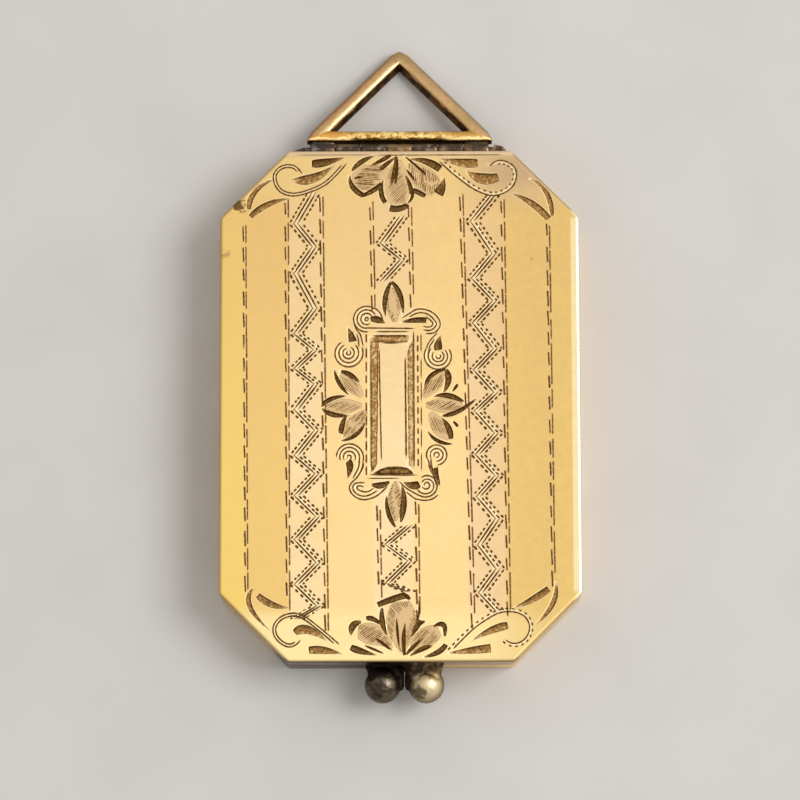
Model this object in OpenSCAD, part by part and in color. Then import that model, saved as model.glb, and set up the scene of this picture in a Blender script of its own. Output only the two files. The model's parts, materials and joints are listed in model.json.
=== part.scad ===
// A rectangular locket with cut corners, closed and lying on its back.
// X runs across the case, Y runs towards the bail and Z points out of the engraved face.
// The origin is the centre of the flat back.

/* [Case] */
// Width of the case
case_w = 22.2; // [21:0.1:24]
// Height of the case, from the clasp edge to the hinge edge
case_h = 31.75; // [31:0.05:33]
// Thickness of the closed case
case_t = 4.4; // [4.2:0.1:5]
// How far each corner is cut back along both of its edges
corner_cut = 4.2; // [3.8:0.1:4.6]
// Thickness of the sheet metal
wall = 0.5; // [0.4:0.05:0.6]
// Rounding between a face and the side wall
edge_r = 0.22; // [0.2:0.01:0.4]
// Rounding of the eight upright corners
corner_r = 0.45; // [0.4:0.05:0.6]
// Gap along the seam between the two halves
seam = 0.06; // [0.04:0.01:0.1]

/* [Hinge] */
// Distance from the hinge edge of the case to the hinge axis
hinge_offset = 0.5; // [0.48:0.01:0.6]
// Outer radius of the knuckles
knuckle_r = 0.42; // [0.38:0.01:0.44]
// Length of one of the seven knuckles, with its end gap
knuckle_pitch = 1.6; // [1.5:0.05:1.65]
// Radius of the hinge pin
pin_r = 0.2; // [0.18:0.01:0.22]
// Clearance between the pin and the bores round it
pin_clearance = 0.03; // [0.02:0.005:0.04]

/* [Bail] */
// Half of the bail's width at its base
bail_half_w = 5.84; // [5.7:0.01:5.85]
// Distance from the hinge axis to the tip of the bail
bail_reach = 6.93; // [6.5:0.01:7.2]
// Width of the bar along the hinge
bail_bar_w = 0.77; // [0.7:0.01:1]
// Width of the two sloping legs
bail_leg_w = 0.8; // [0.7:0.01:1.1]
// Thickness of the bail
bail_t = 0.8; // [0.7:0.01:0.84]

/* [Clasp] */
// Radius of the two clasp beads
bead_r = 1.115; // [1:0.005:1.2]
// Distance from the clasp edge of the case to the beads' centres
bead_offset = 1.235; // [1.2:0.005:1.3]
// Distance between the beads' centres
bead_spacing = 2.67; // [2.5:0.01:3]

/* [Picture rims] */
// Height of each retaining rim above the floor of its half
rim_h = 1.1; // [0.8:0.1:1.4]
// Width of the rim's visible flange
rim_flange = 0.9; // [0.6:0.1:1.5]

/* [Engraving] */
// Depth of the engraved lines
line_depth = 0.05; // [0.03:0.01:0.08]
// Depth of the leaf and petal cuts
leaf_depth = 0.08; // [0.05:0.01:0.12]
// Depth of the sunk frame round the centre panel
frame_depth = 0.12; // [0.08:0.01:0.15]

/* [Hidden] */

half_t = case_t / 2;
hinge_y = case_h / 2 + hinge_offset;
knuckle_count = 7;
knuckle_gap = 0.06;
barrel_len = knuckle_count * knuckle_pitch;
knuckle_len = knuckle_pitch - knuckle_gap;
web_top = knuckle_r - 0.06;
web_gap = 0.06;
round_fn = 64;
overlap = 0.2;
overcut = 0.05;

corner_steps = 4;
edge_steps = 4;
least_corner_r = 0.08;

// Which body each knuckle belongs to, counted from the left end of the barrel.
bail_knuckles = [0, 6];
lid_knuckles = [1, 3, 5];
back_knuckles = [2, 4];

// Wedges on the back half that fall away from the ends of the hinge to the corners of the case.
lug_inner_x = 5.9;
lug_knee_x = 6.46;
lug_outer_x = 6.85;
lug_z = [0.9, half_t - 0.1];
// How far each lug stands off the case at its inner end, at its knee and at its outer end.
left_lug_reach = [0.76, 0.6, 0.46];
right_lug_reach = [0.92, 0.8, 0.3];

pin_len = 2 * (lug_inner_x - 0.04);

// The bail leans back until its tip is just above the surface under the case.
bail_bar_y = 0.574;
tip_clearance = 0.02;
bail_diagonal = norm([bail_reach, bail_t / 2]);
bail_droop = asin((half_t - tip_clearance) / bail_diagonal) - atan2(bail_t / 2, bail_reach);
bail_edge = 0.14;
bail_corner_r = 0.06;
bail_corner_steps = 2;
ear_t = bail_t - 0.2;
ear_root = 0.3;
ear_start = pin_r + pin_clearance + 0.03;

bead_mid_x = 0.215;
bead_y = -case_h / 2 - bead_offset;
bead_lug = [2.2, 0.34, 1.3];

rim_gap = 0.04;
rim_wall = 0.35;
rim_flange_t = 0.25;

// Fine lines down the face, on both sides of each zigzag and near the two long edges.
line_w = 0.07;
// Columns: x at the hinge end, x at the clasp end, y at the hinge end, y at the clasp end.
BORDER_LINES = [
    [-9.56, -9.49, 11.40, -11.45],
    [-6.87, -6.75, 13.00, -12.60],
    [-4.86, -4.55, 12.90, -13.90],
    [-1.68, -1.53, 12.80, 8.20],
    [-1.40, -1.32, -7.60, -12.00],
    [0.68, 0.68, 12.80, 7.00],
    [0.88, 0.93, -7.00, -13.00],
    [3.98, 4.22, 13.80, -13.80],
    [6.30, 6.46, 12.90, -12.70],
    [9.26, 9.33, 11.30, -11.50]
];

// Rows of turning points, running down each zigzag from its right edge.
LEFT_ROWS = [
    13.2, 11.3, 9.8, 8.2, 6.0, 4.4, 3.4, 2.2, 1.3, -0.3,
    -1.6, -3.2, -4.3, -5.7, -6.9, -8.4, -9.8, -11.1, -12.4
];
RIGHT_ROWS = [
    13.1, 11.4, 9.4, 7.8, 6.4, 5.1, 3.4, 2.1, 0.7, -0.4,
    -1.8, -3.1, -4.5, -5.7, -7.1, -8.7, -10.2, -11.7
];
TOP_ROWS = [11.8, 10.1, 9.0, 7.6];
BOTTOM_ROWS = [-7.5, -8.7, -9.7, -11.1];
// How far the zigzags swing, as [left x, right x] at the first row and then at the last.
LEFT_SWING = [[-6.40, -5.20], [-6.30, -4.95]];
RIGHT_SWING = [[4.55, 5.85], [4.80, 6.00]];
TOP_SWING = [[-1.10, 0.30], [-1.05, 0.30]];
BOTTOM_SWING = [[-0.85, 0.50], [-0.80, 0.55]];
zigzag_lines = [-0.12, 0.12];
zigzag_w = 0.1;
zigzag_depth = 0.04;
lens_steps = 8;

// The sunk frame and the plain panel inside it, as [left, right, bottom, top].
FRAME = [-1.91, 0.88, -4.40, 4.32];
PANEL = [-1.30, 0.30, -3.85, 3.73];

// Leaves and petals. Columns: x and y of the base, x and y of the tip, width.
LEAVES = [
    [-0.40, 5.05, -0.42, 7.60, 1.10],
    [-0.25, -4.75, -0.25, -7.60, 1.10],
    [-2.45, 0.45, -3.85, 2.15, 0.90],
    [-2.45, -0.10, -4.80, -0.10, 0.90],
    [-2.20, -0.75, -3.65, -2.30, 0.90],
    [1.45, 0.30, 2.75, 2.15, 0.90],
    [1.66, 0.05, 4.00, -0.05, 0.90],
    [1.96, -0.75, 3.20, -2.40, 0.90],
    [-0.55, 15.30, -2.50, 13.20, 1.60],
    [-0.20, 15.00, -0.10, 12.10, 1.60],
    [0.15, 15.30, 2.30, 13.40, 1.60],
    [-0.20, -15.20, -2.70, -13.90, 1.20],
    [0.15, -14.90, 0.15, -12.00, 1.70],
    [0.50, -15.20, 2.50, -13.90, 1.10]
];

// Comma cuts of the corner scrolls. Columns as for the leaves.
COMMAS = [
    [-3.35, 15.45, -5.58, 15.20, 0.45],
    [-3.70, 15.00, -6.60, 14.05, 0.55],
    [-7.82, 14.10, -9.30, 12.30, 0.28],
    [-6.65, 12.95, -9.20, 11.75, 0.40],
    [2.75, 15.35, 4.82, 15.30, 0.45],
    [4.05, 14.62, 6.14, 14.35, 0.60],
    [7.90, 14.00, 9.20, 11.90, 0.28],
    [6.65, 13.30, 8.95, 11.60, 0.40],
    [-8.95, -11.70, -6.80, -12.60, 0.35],
    [-9.25, -12.25, -8.20, -13.65, 0.28],
    [-6.60, -13.95, -4.46, -14.60, 0.60],
    [-5.70, -15.05, -3.60, -15.35, 0.45],
    [6.96, -12.45, 9.05, -11.25, 0.35],
    [9.25, -12.45, 8.45, -13.40, 0.28],
    [6.70, -13.75, 4.30, -14.63, 0.60],
    [5.60, -15.00, 2.80, -15.35, 0.40]
];

function unit(v) = v / norm(v);

function before(p, i) = p[(i + len(p) - 1) % len(p)];

function after(p, i) = p[(i + 1) % len(p)];

// Half of the angle inside corner i of the polygon p.
function half_angle(p, i) =
    acos(unit(before(p, i) - p[i]) * unit(after(p, i) - p[i])) / 2;

// The convex polygon p with every edge moved inwards by d.
function inset(p, d) = [
    for (i = [0 : len(p) - 1])
        p[i] + unit(unit(before(p, i) - p[i]) + unit(after(p, i) - p[i])) * d / sin(half_angle(p, i))
];

// The convex polygon p with each corner drawn as a short curve of about radius r, in a few steps.
function rounded(p, r, steps) = [
    for (i = [0 : len(p) - 1])
        let (t = r / tan(half_angle(p, i)))
        let (a = p[i] + unit(before(p, i) - p[i]) * t)
        let (b = p[i] + unit(after(p, i) - p[i]) * t)
        for (s = [0 : steps])
            let (u = s / steps)
            (1 - u) * (1 - u) * a + 2 * u * (1 - u) * p[i] + u * u * b
];

// A ring of points at height z.
function ring(p, z) = [for (q = p) [q[0], q[1], z]];

// A closed solid through a stack of rings that have equal numbers of points.
module lofted(rings) {
    n = len(rings[0]);
    top = len(rings) - 1;
    polyhedron(
        points = [for (r = rings) for (q = r) q],
        faces = concat(
            [[for (i = [0 : n - 1]) i]],
            [[for (i = [n - 1 : -1 : 0]) top * n + i]],
            [for (k = [0 : top - 1], i = [0 : n - 1])
                [k * n + i, (k + 1) * n + i, (k + 1) * n + (i + 1) % n, k * n + (i + 1) % n]]
        )
    );
}

// The plan of the case: a rectangle with its corners cut at 45 degrees.
function case_plan() =
    let (w = case_w / 2, h = case_h / 2, c = corner_cut)
    [
        [w, -h + c], [w, h - c], [w - c, h], [-w + c, h],
        [-w, h - c], [-w, -h + c], [-w + c, -h], [w - c, -h]
    ];

// The outline of the case moved inwards by d, with its corners rounded.
function case_outline(d) = rounded(inset(case_plan(), d), max(corner_r - d, least_corner_r), corner_steps);

// One half of the case: a shallow tray whose floor is at z = 0.
module tray() {
    difference() {
        lofted(concat(
            [for (s = [0 : edge_steps])
                let (a = 90 * s / edge_steps)
                ring(case_outline(edge_r * (1 - sin(a))), edge_r * (1 - cos(a)))],
            [ring(case_outline(0), half_t - seam / 2)]
        ));
        translate([0, 0, wall])
            linear_extrude(half_t)
                polygon(case_outline(wall));
    }
}

// Turns what is drawn for the back half over into the front half.
module front_side() {
    translate([0, 0, case_t])
        mirror([0, 0, 1])
            children();
}

// Where knuckle k starts along the barrel.
function knuckle_x(k) = k * knuckle_pitch - (barrel_len - knuckle_gap) / 2;

// The tubes of the knuckles in a list, along the hinge axis.
module knuckles(list) {
    for (k = list)
        translate([knuckle_x(k), hinge_y, half_t])
            rotate([0, 90, 0])
                cylinder(r = knuckle_r, h = knuckle_len, $fn = round_fn);
}

// The webs that carry those knuckles on the wall of the back half.
module webs(list) {
    for (k = list)
        translate([knuckle_x(k), case_h / 2 - overlap, half_t - web_top])
            cube([knuckle_len, hinge_offset + overlap, web_top - web_gap]);
}

module hinge_bore() {
    translate([-barrel_len / 2 - overcut, hinge_y, half_t])
        rotate([0, 90, 0])
            cylinder(r = pin_r + pin_clearance, h = barrel_len + 2 * overcut, $fn = round_fn);
}

// A wedge that tapers away from the right end of the hinge.
module end_lug(reach) {
    translate([0, 0, lug_z[0]])
        linear_extrude(lug_z[1] - lug_z[0])
            polygon([
                [lug_inner_x, case_h / 2 - overlap],
                [lug_outer_x, case_h / 2 - overlap],
                [lug_outer_x, case_h / 2 + reach[2]],
                [lug_knee_x, case_h / 2 + reach[1]],
                [lug_inner_x, case_h / 2 + reach[0]]
            ]);
}

module back_cover() {
    color("goldenrod")
        difference() {
            union() {
                tray();
                knuckles(back_knuckles);
                webs(back_knuckles);
                end_lug(right_lug_reach);
                mirror([1, 0, 0])
                    end_lug(left_lug_reach);
            }
            hinge_bore();
        }
}

module hinge_pin() {
    color("dimgray")
        translate([-pin_len / 2, hinge_y, half_t])
            rotate([0, 90, 0])
                cylinder(r = pin_r, h = pin_len, $fn = round_fn);
}

// A clasp bead on its lug, which stands on the wall of the back half.
module bead(x) {
    translate([x, bead_y, half_t])
        sphere(r = bead_r, $fn = round_fn);
    translate([x - bead_lug[0] / 2, -case_h / 2 - bead_lug[1], half_t - seam - bead_lug[2]])
        cube(bead_lug);
}

module back_bead() {
    color("dimgray")
        bead(bead_mid_x - bead_spacing / 2);
}

module front_bead() {
    color("darkkhaki")
        front_side()
            bead(bead_mid_x + bead_spacing / 2);
}

// A rim that holds a picture down: an upright band with a flange along its free edge.
module picture_rim() {
    translate([0, 0, wall])
        difference() {
            linear_extrude(rim_h)
                polygon(inset(case_plan(), wall + rim_gap));
            translate([0, 0, -overcut])
                linear_extrude(rim_h - rim_flange_t + overcut)
                    polygon(inset(case_plan(), wall + rim_gap + rim_wall));
            linear_extrude(rim_h + overcut)
                polygon(inset(case_plan(), wall + rim_gap + rim_flange));
        }
}

module back_picture_rim() {
    color("gold")
        picture_rim();
}

module front_picture_rim() {
    color("gold")
        front_side()
            picture_rim();
}

// A cut of a given depth into the face, from a flat shape.
module face_cut(depth) {
    translate([0, 0, case_t - depth])
        linear_extrude(depth + overcut)
            children();
}

// A straight groove between two points.
module groove(a, b) {
    side = unit([b[1] - a[1], a[0] - b[0]]) * line_w / 2;
    face_cut(line_depth)
        polygon([a + side, b + side, b - side, a - side]);
}

module border_lines() {
    for (p = BORDER_LINES)
        groove([p[0], p[2]], [p[1], p[3]]);
}

// Fine lines that turn at each row, between two edges that may lean.
module zigzag(rows, swing) {
    n = len(rows) - 1;
    for (shift = zigzag_lines) {
        path = [
            for (i = [0 : n])
                let (side = (i + 1) % 2)
                [swing[0][side] + (swing[1][side] - swing[0][side]) * i / n + shift, rows[i]]
        ];
        face_cut(zigzag_depth)
            polygon(concat(
                [for (i = [0 : n]) path[i] + [zigzag_w / 2, 0]],
                [for (i = [n : -1 : 0]) path[i] - [zigzag_w / 2, 0]]
            ));
    }
}

module zigzags() {
    zigzag(LEFT_ROWS, LEFT_SWING);
    zigzag(RIGHT_ROWS, RIGHT_SWING);
    zigzag(TOP_ROWS, TOP_SWING);
    zigzag(BOTTOM_ROWS, BOTTOM_SWING);
}

// A pointed oval from the base to the tip of a row.
module lens(row, depth) {
    base = [row[0], row[1]];
    along = ([row[2], row[3]] - base) / lens_steps;
    across = unit([-along[1], along[0]]) * row[4] / 2;
    face_cut(depth)
        polygon(concat(
            [for (i = [0 : lens_steps]) base + along * i + across * sin(180 * i / lens_steps)],
            [for (i = [lens_steps - 1 : -1 : 1]) base + along * i - across * sin(180 * i / lens_steps)]
        ));
}

module rectangle(r) {
    translate([r[0], r[2]])
        square([r[1] - r[0], r[3] - r[2]]);
}

module engraving() {
    border_lines();
    zigzags();
    for (row = LEAVES)
        lens(row, leaf_depth);
    for (row = COMMAS)
        lens(row, leaf_depth);
    face_cut(frame_depth)
        difference() {
            rectangle(FRAME);
            rectangle(PANEL);
        }
}

module front_cover() {
    color("gold")
        difference() {
            union() {
                front_side() {
                    tray();
                    webs(lid_knuckles);
                }
                knuckles(lid_knuckles);
            }
            hinge_bore();
            engraving();
        }
}

// The bail in its own plane: x across, y away from the hinge axis.
function bail_outer() = [[bail_half_w, bail_bar_y], [0, bail_reach], [-bail_half_w, bail_bar_y]];

leg_angle = atan2(bail_reach - bail_bar_y, bail_half_w);
eye_y = bail_reach - bail_leg_w / cos(leg_angle);
eye_base_y = bail_bar_y + bail_bar_w;
eye_half_w = (eye_y - eye_base_y) / tan(leg_angle);

function bail_eye() = [[eye_half_w, eye_base_y], [0, eye_y], [-eye_half_w, eye_base_y]];

// Two rings of a polygon near the edges of the bail's plate: one drawn in by a chamfer, one full.
module bail_plate(p, chamfer, past) {
    t = bail_t / 2;
    lofted([
        ring(inset(p, chamfer), -t - past),
        ring(p, -t + bail_edge),
        ring(p, t - bail_edge),
        ring(inset(p, chamfer), t + past)
    ]);
}

module bail_frame() {
    difference() {
        bail_plate(rounded(bail_outer(), bail_corner_r, bail_corner_steps), bail_edge / 2, 0);
        bail_plate(bail_eye(), -bail_edge / 2 - overcut, overcut);
    }
}

// The two blocks that join the bail's bar to its knuckles.
module bail_ears() {
    for (k = bail_knuckles)
        translate([knuckle_x(k), ear_start, -ear_t / 2])
            cube([knuckle_len, bail_bar_y + ear_root - ear_start, ear_t]);
}

module bail() {
    color("darkgoldenrod")
        difference() {
            union() {
                translate([0, hinge_y, half_t])
                    rotate([-bail_droop, 0, 0]) {
                        bail_frame();
                        bail_ears();
                    }
                knuckles(bail_knuckles);
            }
            hinge_bore();
        }
}

back_cover();
hinge_pin();
back_bead();
back_picture_rim();
front_cover();
front_bead();
front_picture_rim();
bail();
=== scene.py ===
import json
import math
import random

import bpy
import numpy as np
from mathutils import Matrix, Vector, noise
from mathutils.geometry import delaunay_2d_cdt


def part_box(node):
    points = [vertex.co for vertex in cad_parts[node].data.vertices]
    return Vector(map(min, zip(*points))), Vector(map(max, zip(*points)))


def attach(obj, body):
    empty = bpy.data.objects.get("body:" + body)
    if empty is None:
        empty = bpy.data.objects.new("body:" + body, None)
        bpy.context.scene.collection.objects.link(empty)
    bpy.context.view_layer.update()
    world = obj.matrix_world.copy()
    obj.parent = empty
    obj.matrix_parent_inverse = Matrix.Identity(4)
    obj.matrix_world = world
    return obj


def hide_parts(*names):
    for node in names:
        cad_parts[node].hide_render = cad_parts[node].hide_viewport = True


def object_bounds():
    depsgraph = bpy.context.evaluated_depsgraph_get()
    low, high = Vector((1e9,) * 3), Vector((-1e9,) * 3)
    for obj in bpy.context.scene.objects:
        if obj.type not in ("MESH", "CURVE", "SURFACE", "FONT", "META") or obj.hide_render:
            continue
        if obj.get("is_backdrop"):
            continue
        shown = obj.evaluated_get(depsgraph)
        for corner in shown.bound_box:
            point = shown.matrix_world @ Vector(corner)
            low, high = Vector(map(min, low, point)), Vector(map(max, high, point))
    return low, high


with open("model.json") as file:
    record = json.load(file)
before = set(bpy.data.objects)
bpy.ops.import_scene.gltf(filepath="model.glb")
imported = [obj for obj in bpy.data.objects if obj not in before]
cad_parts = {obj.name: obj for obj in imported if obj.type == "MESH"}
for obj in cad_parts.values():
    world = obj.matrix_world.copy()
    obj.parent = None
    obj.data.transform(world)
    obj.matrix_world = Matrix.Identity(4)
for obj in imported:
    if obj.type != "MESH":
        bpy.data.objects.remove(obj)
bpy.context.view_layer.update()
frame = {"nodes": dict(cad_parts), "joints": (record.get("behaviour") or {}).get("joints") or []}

# Lengths are in millimetres up to the point where a mesh is made.
MM = 0.001


def box_mm(node):
    low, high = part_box(node)
    return low / MM, high / MM


# Sizes that the frame gives.
BACK_LOW, BACK_HIGH = box_mm("back_cover")
HALF_W = BACK_HIGH.x
HALF_H = -BACK_LOW.y
FACE_Z = box_mm("front_cover")[1].z
MID_Z = FACE_Z / 2
HINGE = Vector(frame["joints"][0]["pos_m"]) / MM

# Sizes of the case that the solids share, and of the lip, the dents and the rounded edge of its halves.
CORNER_CUT = 4.2
WALL = 0.5
EDGE_R = 0.2
CORNER_R = 0.45
LEAST_CORNER_R = 0.08
SEAM = 0.06
LIP = 0.05
DENT_SIZE = 3
EDGE_STEPS = 6

# The hinge along the top edge.
KNUCKLE_R = 0.42
KNUCKLE_PITCH = 1.6
KNUCKLE_GAP = 0.06
BARREL_LEN = 7 * KNUCKLE_PITCH
BORE_R = 0.23
KNUCKLE_AROUND = 40
# How deep the lumps in the solder of the knuckles, of the webs and ears, and of the end lugs go.
KNUCKLE_LUMP = 0.03
BOX_LUMP = 0.02
LUG_LUMP = 0.012
WEB_TOP = 0.36
WEB_GAP = 0.06
LUG_X = (5.9, 6.46, 6.85)
LUG_REACH = {-1: (0.76, 0.60, 0.46), 1: (0.92, 0.80, 0.30)}
LUG_Z = (0.9, 2.1)

# The bail, in its own plane: x across, y away from the hinge axis.
BAIL_HALF_W = 5.84
BAIL_REACH = 6.93
BAIL_BAR_Y = 0.574
BAIL_BAR_W = 0.77
BAIL_LEG_W = 0.8
BAIL_SLOPE = math.atan2(BAIL_REACH - BAIL_BAR_Y, BAIL_HALF_W)
BAIL_T = 0.8
BAIL_CORNER_R = 0.07
# How deep its dents go, and the pits in the middle of its bar, within this distance from x = 0.
BAIL_DENT = 0.02
BAR_PIT_DEPTH = 0.03
BAR_PITTED = 4
BAIL_DROOP = math.radians(15)
# How far its legs swell outwards, and how far from both ends of a leg that is reached.
BAIL_SWELL = 0.2
BAIL_SWELL_END = 0.6
EAR_T = 0.6

# The clasp beads.
BEAD_R = 1.115
BEAD_Y = -HALF_H - 1.235
BEAD_X = (-1.12, 1.55)
BEAD_LUG_T = 1.3
BEAD_AROUND = 56
BALL_ROWS = 40
# The dents and pocks of a ball, as shares of its radius, and the lumps of its neck and crust, as shares of
# their size.
BALL_DENT = 0.012
BALL_POCK = 0.03
NECK_LUMP = 0.05
CRUST_LUMP = 0.06
# The neck of solder on a bead. Columns: distance from the wall, half width, half height, how far its middle
# has moved from the lug's to the seam, as a share, and how much wider it is on the side of the other bead.
NECK = [
    (-0.10, 1.12, 0.62, 0.0, 0.44), (0.03, 1.12, 0.62, 0.0, 0.44), (0.18, 1.06, 0.60, 0.1, 0.40),
    (0.36, 0.97, 0.55, 0.3, 0.40), (0.54, 0.94, 0.58, 0.55, 0.36), (0.74, 0.96, 0.78, 0.8, 0.24),
    (0.94, 1.02, 1.02, 1.0, 0.08),
]
# The crust of solder and dirt on the side of a bead that faces the other one. Columns: distance from the
# wall, reach from the middle of the bead, half height.
CRUST = [
    (0.20, 1.20, 0.22), (0.50, 1.30, 0.34), (0.80, 1.31, 0.42), (1.10, 1.31, 0.40), (1.34, 1.30, 0.34),
    (1.50, 1.24, 0.26), (1.62, 1.02, 0.14),
]


# Plane geometry

def unit(v):
    return v / np.linalg.norm(v)


def left_of(v):
    return np.array([-v[1], v[0]])


def ways(points):
    """The direction of a chain of points at each of them."""
    last = len(points) - 1
    return [unit(points[min(i + 1, last)] - points[max(i - 1, 0)]) for i in range(last + 1)]


def turns(count):
    """Angles in even steps all the way round."""
    return [2 * math.pi * k / count for k in range(count)]


def case_plan():
    w, h, c = HALF_W, HALF_H, CORNER_CUT
    quarter = [(w, -h + c), (w, h - c), (w - c, h), (-w + c, h)]
    return np.array(quarter + [(-x, -y) for x, y in quarter])


def half_angles(p):
    """Half of the angle inside each corner of the polygon p."""
    back = np.roll(p, 1, axis=0) - p
    ahead = np.roll(p, -1, axis=0) - p
    return [math.acos(np.dot(unit(a), unit(b))) / 2 for a, b in zip(back, ahead)]


def inset(p, d):
    """The convex polygon p with every edge moved inwards by d."""
    out = []
    for i, half in enumerate(half_angles(p)):
        inwards = unit(unit(p[i - 1] - p[i]) + unit(p[(i + 1) % len(p)] - p[i]))
        out.append(p[i] + inwards * d / math.sin(half))
    return np.array(out)


def rounded(p, r, steps, spans):
    """The convex polygon p with each corner as a short curve, and spans[i] steps along each side."""
    out = []
    halves = half_angles(p)
    cuts = [r / math.tan(h) for h in halves]
    for i, q in enumerate(p):
        a = q + unit(p[i - 1] - q) * cuts[i]
        b = q + unit(p[(i + 1) % len(p)] - q) * cuts[i]
        for s in range(steps + 1):
            u = s / steps
            out.append((1 - u) ** 2 * a + 2 * u * (1 - u) * q + u * u * b)
        nxt = p[(i + 1) % len(p)]
        c = nxt + unit(q - nxt) * cuts[(i + 1) % len(p)]
        for s in range(1, spans[i]):
            out.append(b + (c - b) * s / spans[i])
    return np.array(out)


CORNER_STEPS = 5
SIDE_STEP = 0.9
MERGE_WITHIN = 1e-4
PLAN = case_plan()
SPANS = [max(2, round(np.linalg.norm(PLAN[(i + 1) % 8] - PLAN[i]) / SIDE_STEP)) for i in range(8)]


def case_outline(d):
    return rounded(inset(PLAN, d), max(CORNER_R - d, LEAST_CORNER_R), CORNER_STEPS, SPANS)


# Mesh building

def placed(name, data):
    """A new object in the scene."""
    obj = bpy.data.objects.new(name, data)
    bpy.context.scene.collection.objects.link(obj)
    return obj


class Shape:
    """Vertices in millimetres and faces, gathered into one mesh."""

    def __init__(self):
        self.points = []
        self.faces = []
        self.flat = []

    def add(self, points, faces, flat=False):
        start = len(self.points)
        self.points += [tuple(map(float, p)) for p in points]
        self.faces += [[start + i for i in f] for f in faces]
        self.flat += [flat] * len(faces)

    def loft(self, rings, close=False):
        """Quads between rings of equal length; close joins the last ring to the first."""
        n = len(rings[0])
        points = [p for ring in rings for p in ring]
        count = len(rings) if close else len(rings) - 1
        faces = []
        for k in range(count):
            a, b = k * n, (k + 1) % len(rings) * n
            faces += [[a + i, a + (i + 1) % n, b + (i + 1) % n, b + i] for i in range(n)]
        self.add(points, faces)

    def capped(self, rings):
        """A loft through the rings, closed by a flat cap at both ends."""
        self.loft(rings)
        n = len(rings[0])
        self.add(rings[0], [list(range(n - 1, -1, -1))], flat=True)
        self.add(rings[-1], [list(range(n))], flat=True)

    def build(self, name, body, slot, material, *nodes, sharp=35):
        """The finished piece. Edges that bend by more than sharp degrees stay hard."""
        mesh = bpy.data.meshes.new(name)
        mesh.from_pydata([(x * MM, y * MM, z * MM) for x, y, z in self.points], [], self.faces)
        mesh.validate()
        mesh.set_sharp_from_angle(angle=math.radians(sharp))
        mesh.polygons.foreach_set("use_smooth", [not f for f in self.flat])
        mesh.materials.append(material)
        obj = placed(name, mesh)
        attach(obj, body)
        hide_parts(*nodes)


def at_height(outline, z):
    return [(x, y, z) for x, y in outline]


def soft(place):
    """Smooth noise from 0 to 1."""
    return 0.5 + 0.5 * noise.noise(place)


def dented(points, depth, seed):
    """The points drawn towards the middle of the case by smooth noise, never outwards."""
    out = []
    for x, y, z in points:
        k = depth * soft(Vector((x, y, z)) / DENT_SIZE + Vector((seed, 0, 0))) / max(math.hypot(x, y), 1)
        out.append((x * (1 - k), y * (1 - k), z))
    return out


# The engraving. Every cut is a chain of places with a width and a depth, and its keel is its deepest line.

FACE_EDGE = inset(PLAN, EDGE_R)
FACE_MARGIN = 0.03
END_WALL = 0.05
END_SLACK = 0.002
JOINT_SLACK = 0.005
CELL = 0.5
# An end narrower than this is a point, and a floor narrower than this share of its cut is left out.
POINT_W = 0.02
LEAST_FLOOR = 0.12


class Floor:
    """The profile of a wide cut: from its rim it falls for wall to rise times its depth, and it is at its
    depth again at toe from the rim."""

    def __init__(self, wall, toe, rise):
        self.wall, self.toe, self.rise = wall, toe, rise

    def share(self, e):
        if e < self.wall:
            return self.rise * e / self.wall
        if e < self.toe:
            return self.rise + (1 - self.rise) * (e - self.wall) / (self.toe - self.wall)
        return 1.0

    def insets(self):
        return sorted({self.wall, self.toe})


def kept_inside(q):
    """The point q, moved in from the rounded edge of the face if it is too near."""
    q = np.array(q, float)
    for i in range(8):
        a, b = FACE_EDGE[i], FACE_EDGE[(i + 1) % 8]
        inwards = left_of(unit(b - a))
        gap = np.dot(q - a, inwards)
        if gap < FACE_MARGIN:
            q = q + inwards * (FACE_MARGIN - gap)
    return q


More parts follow.
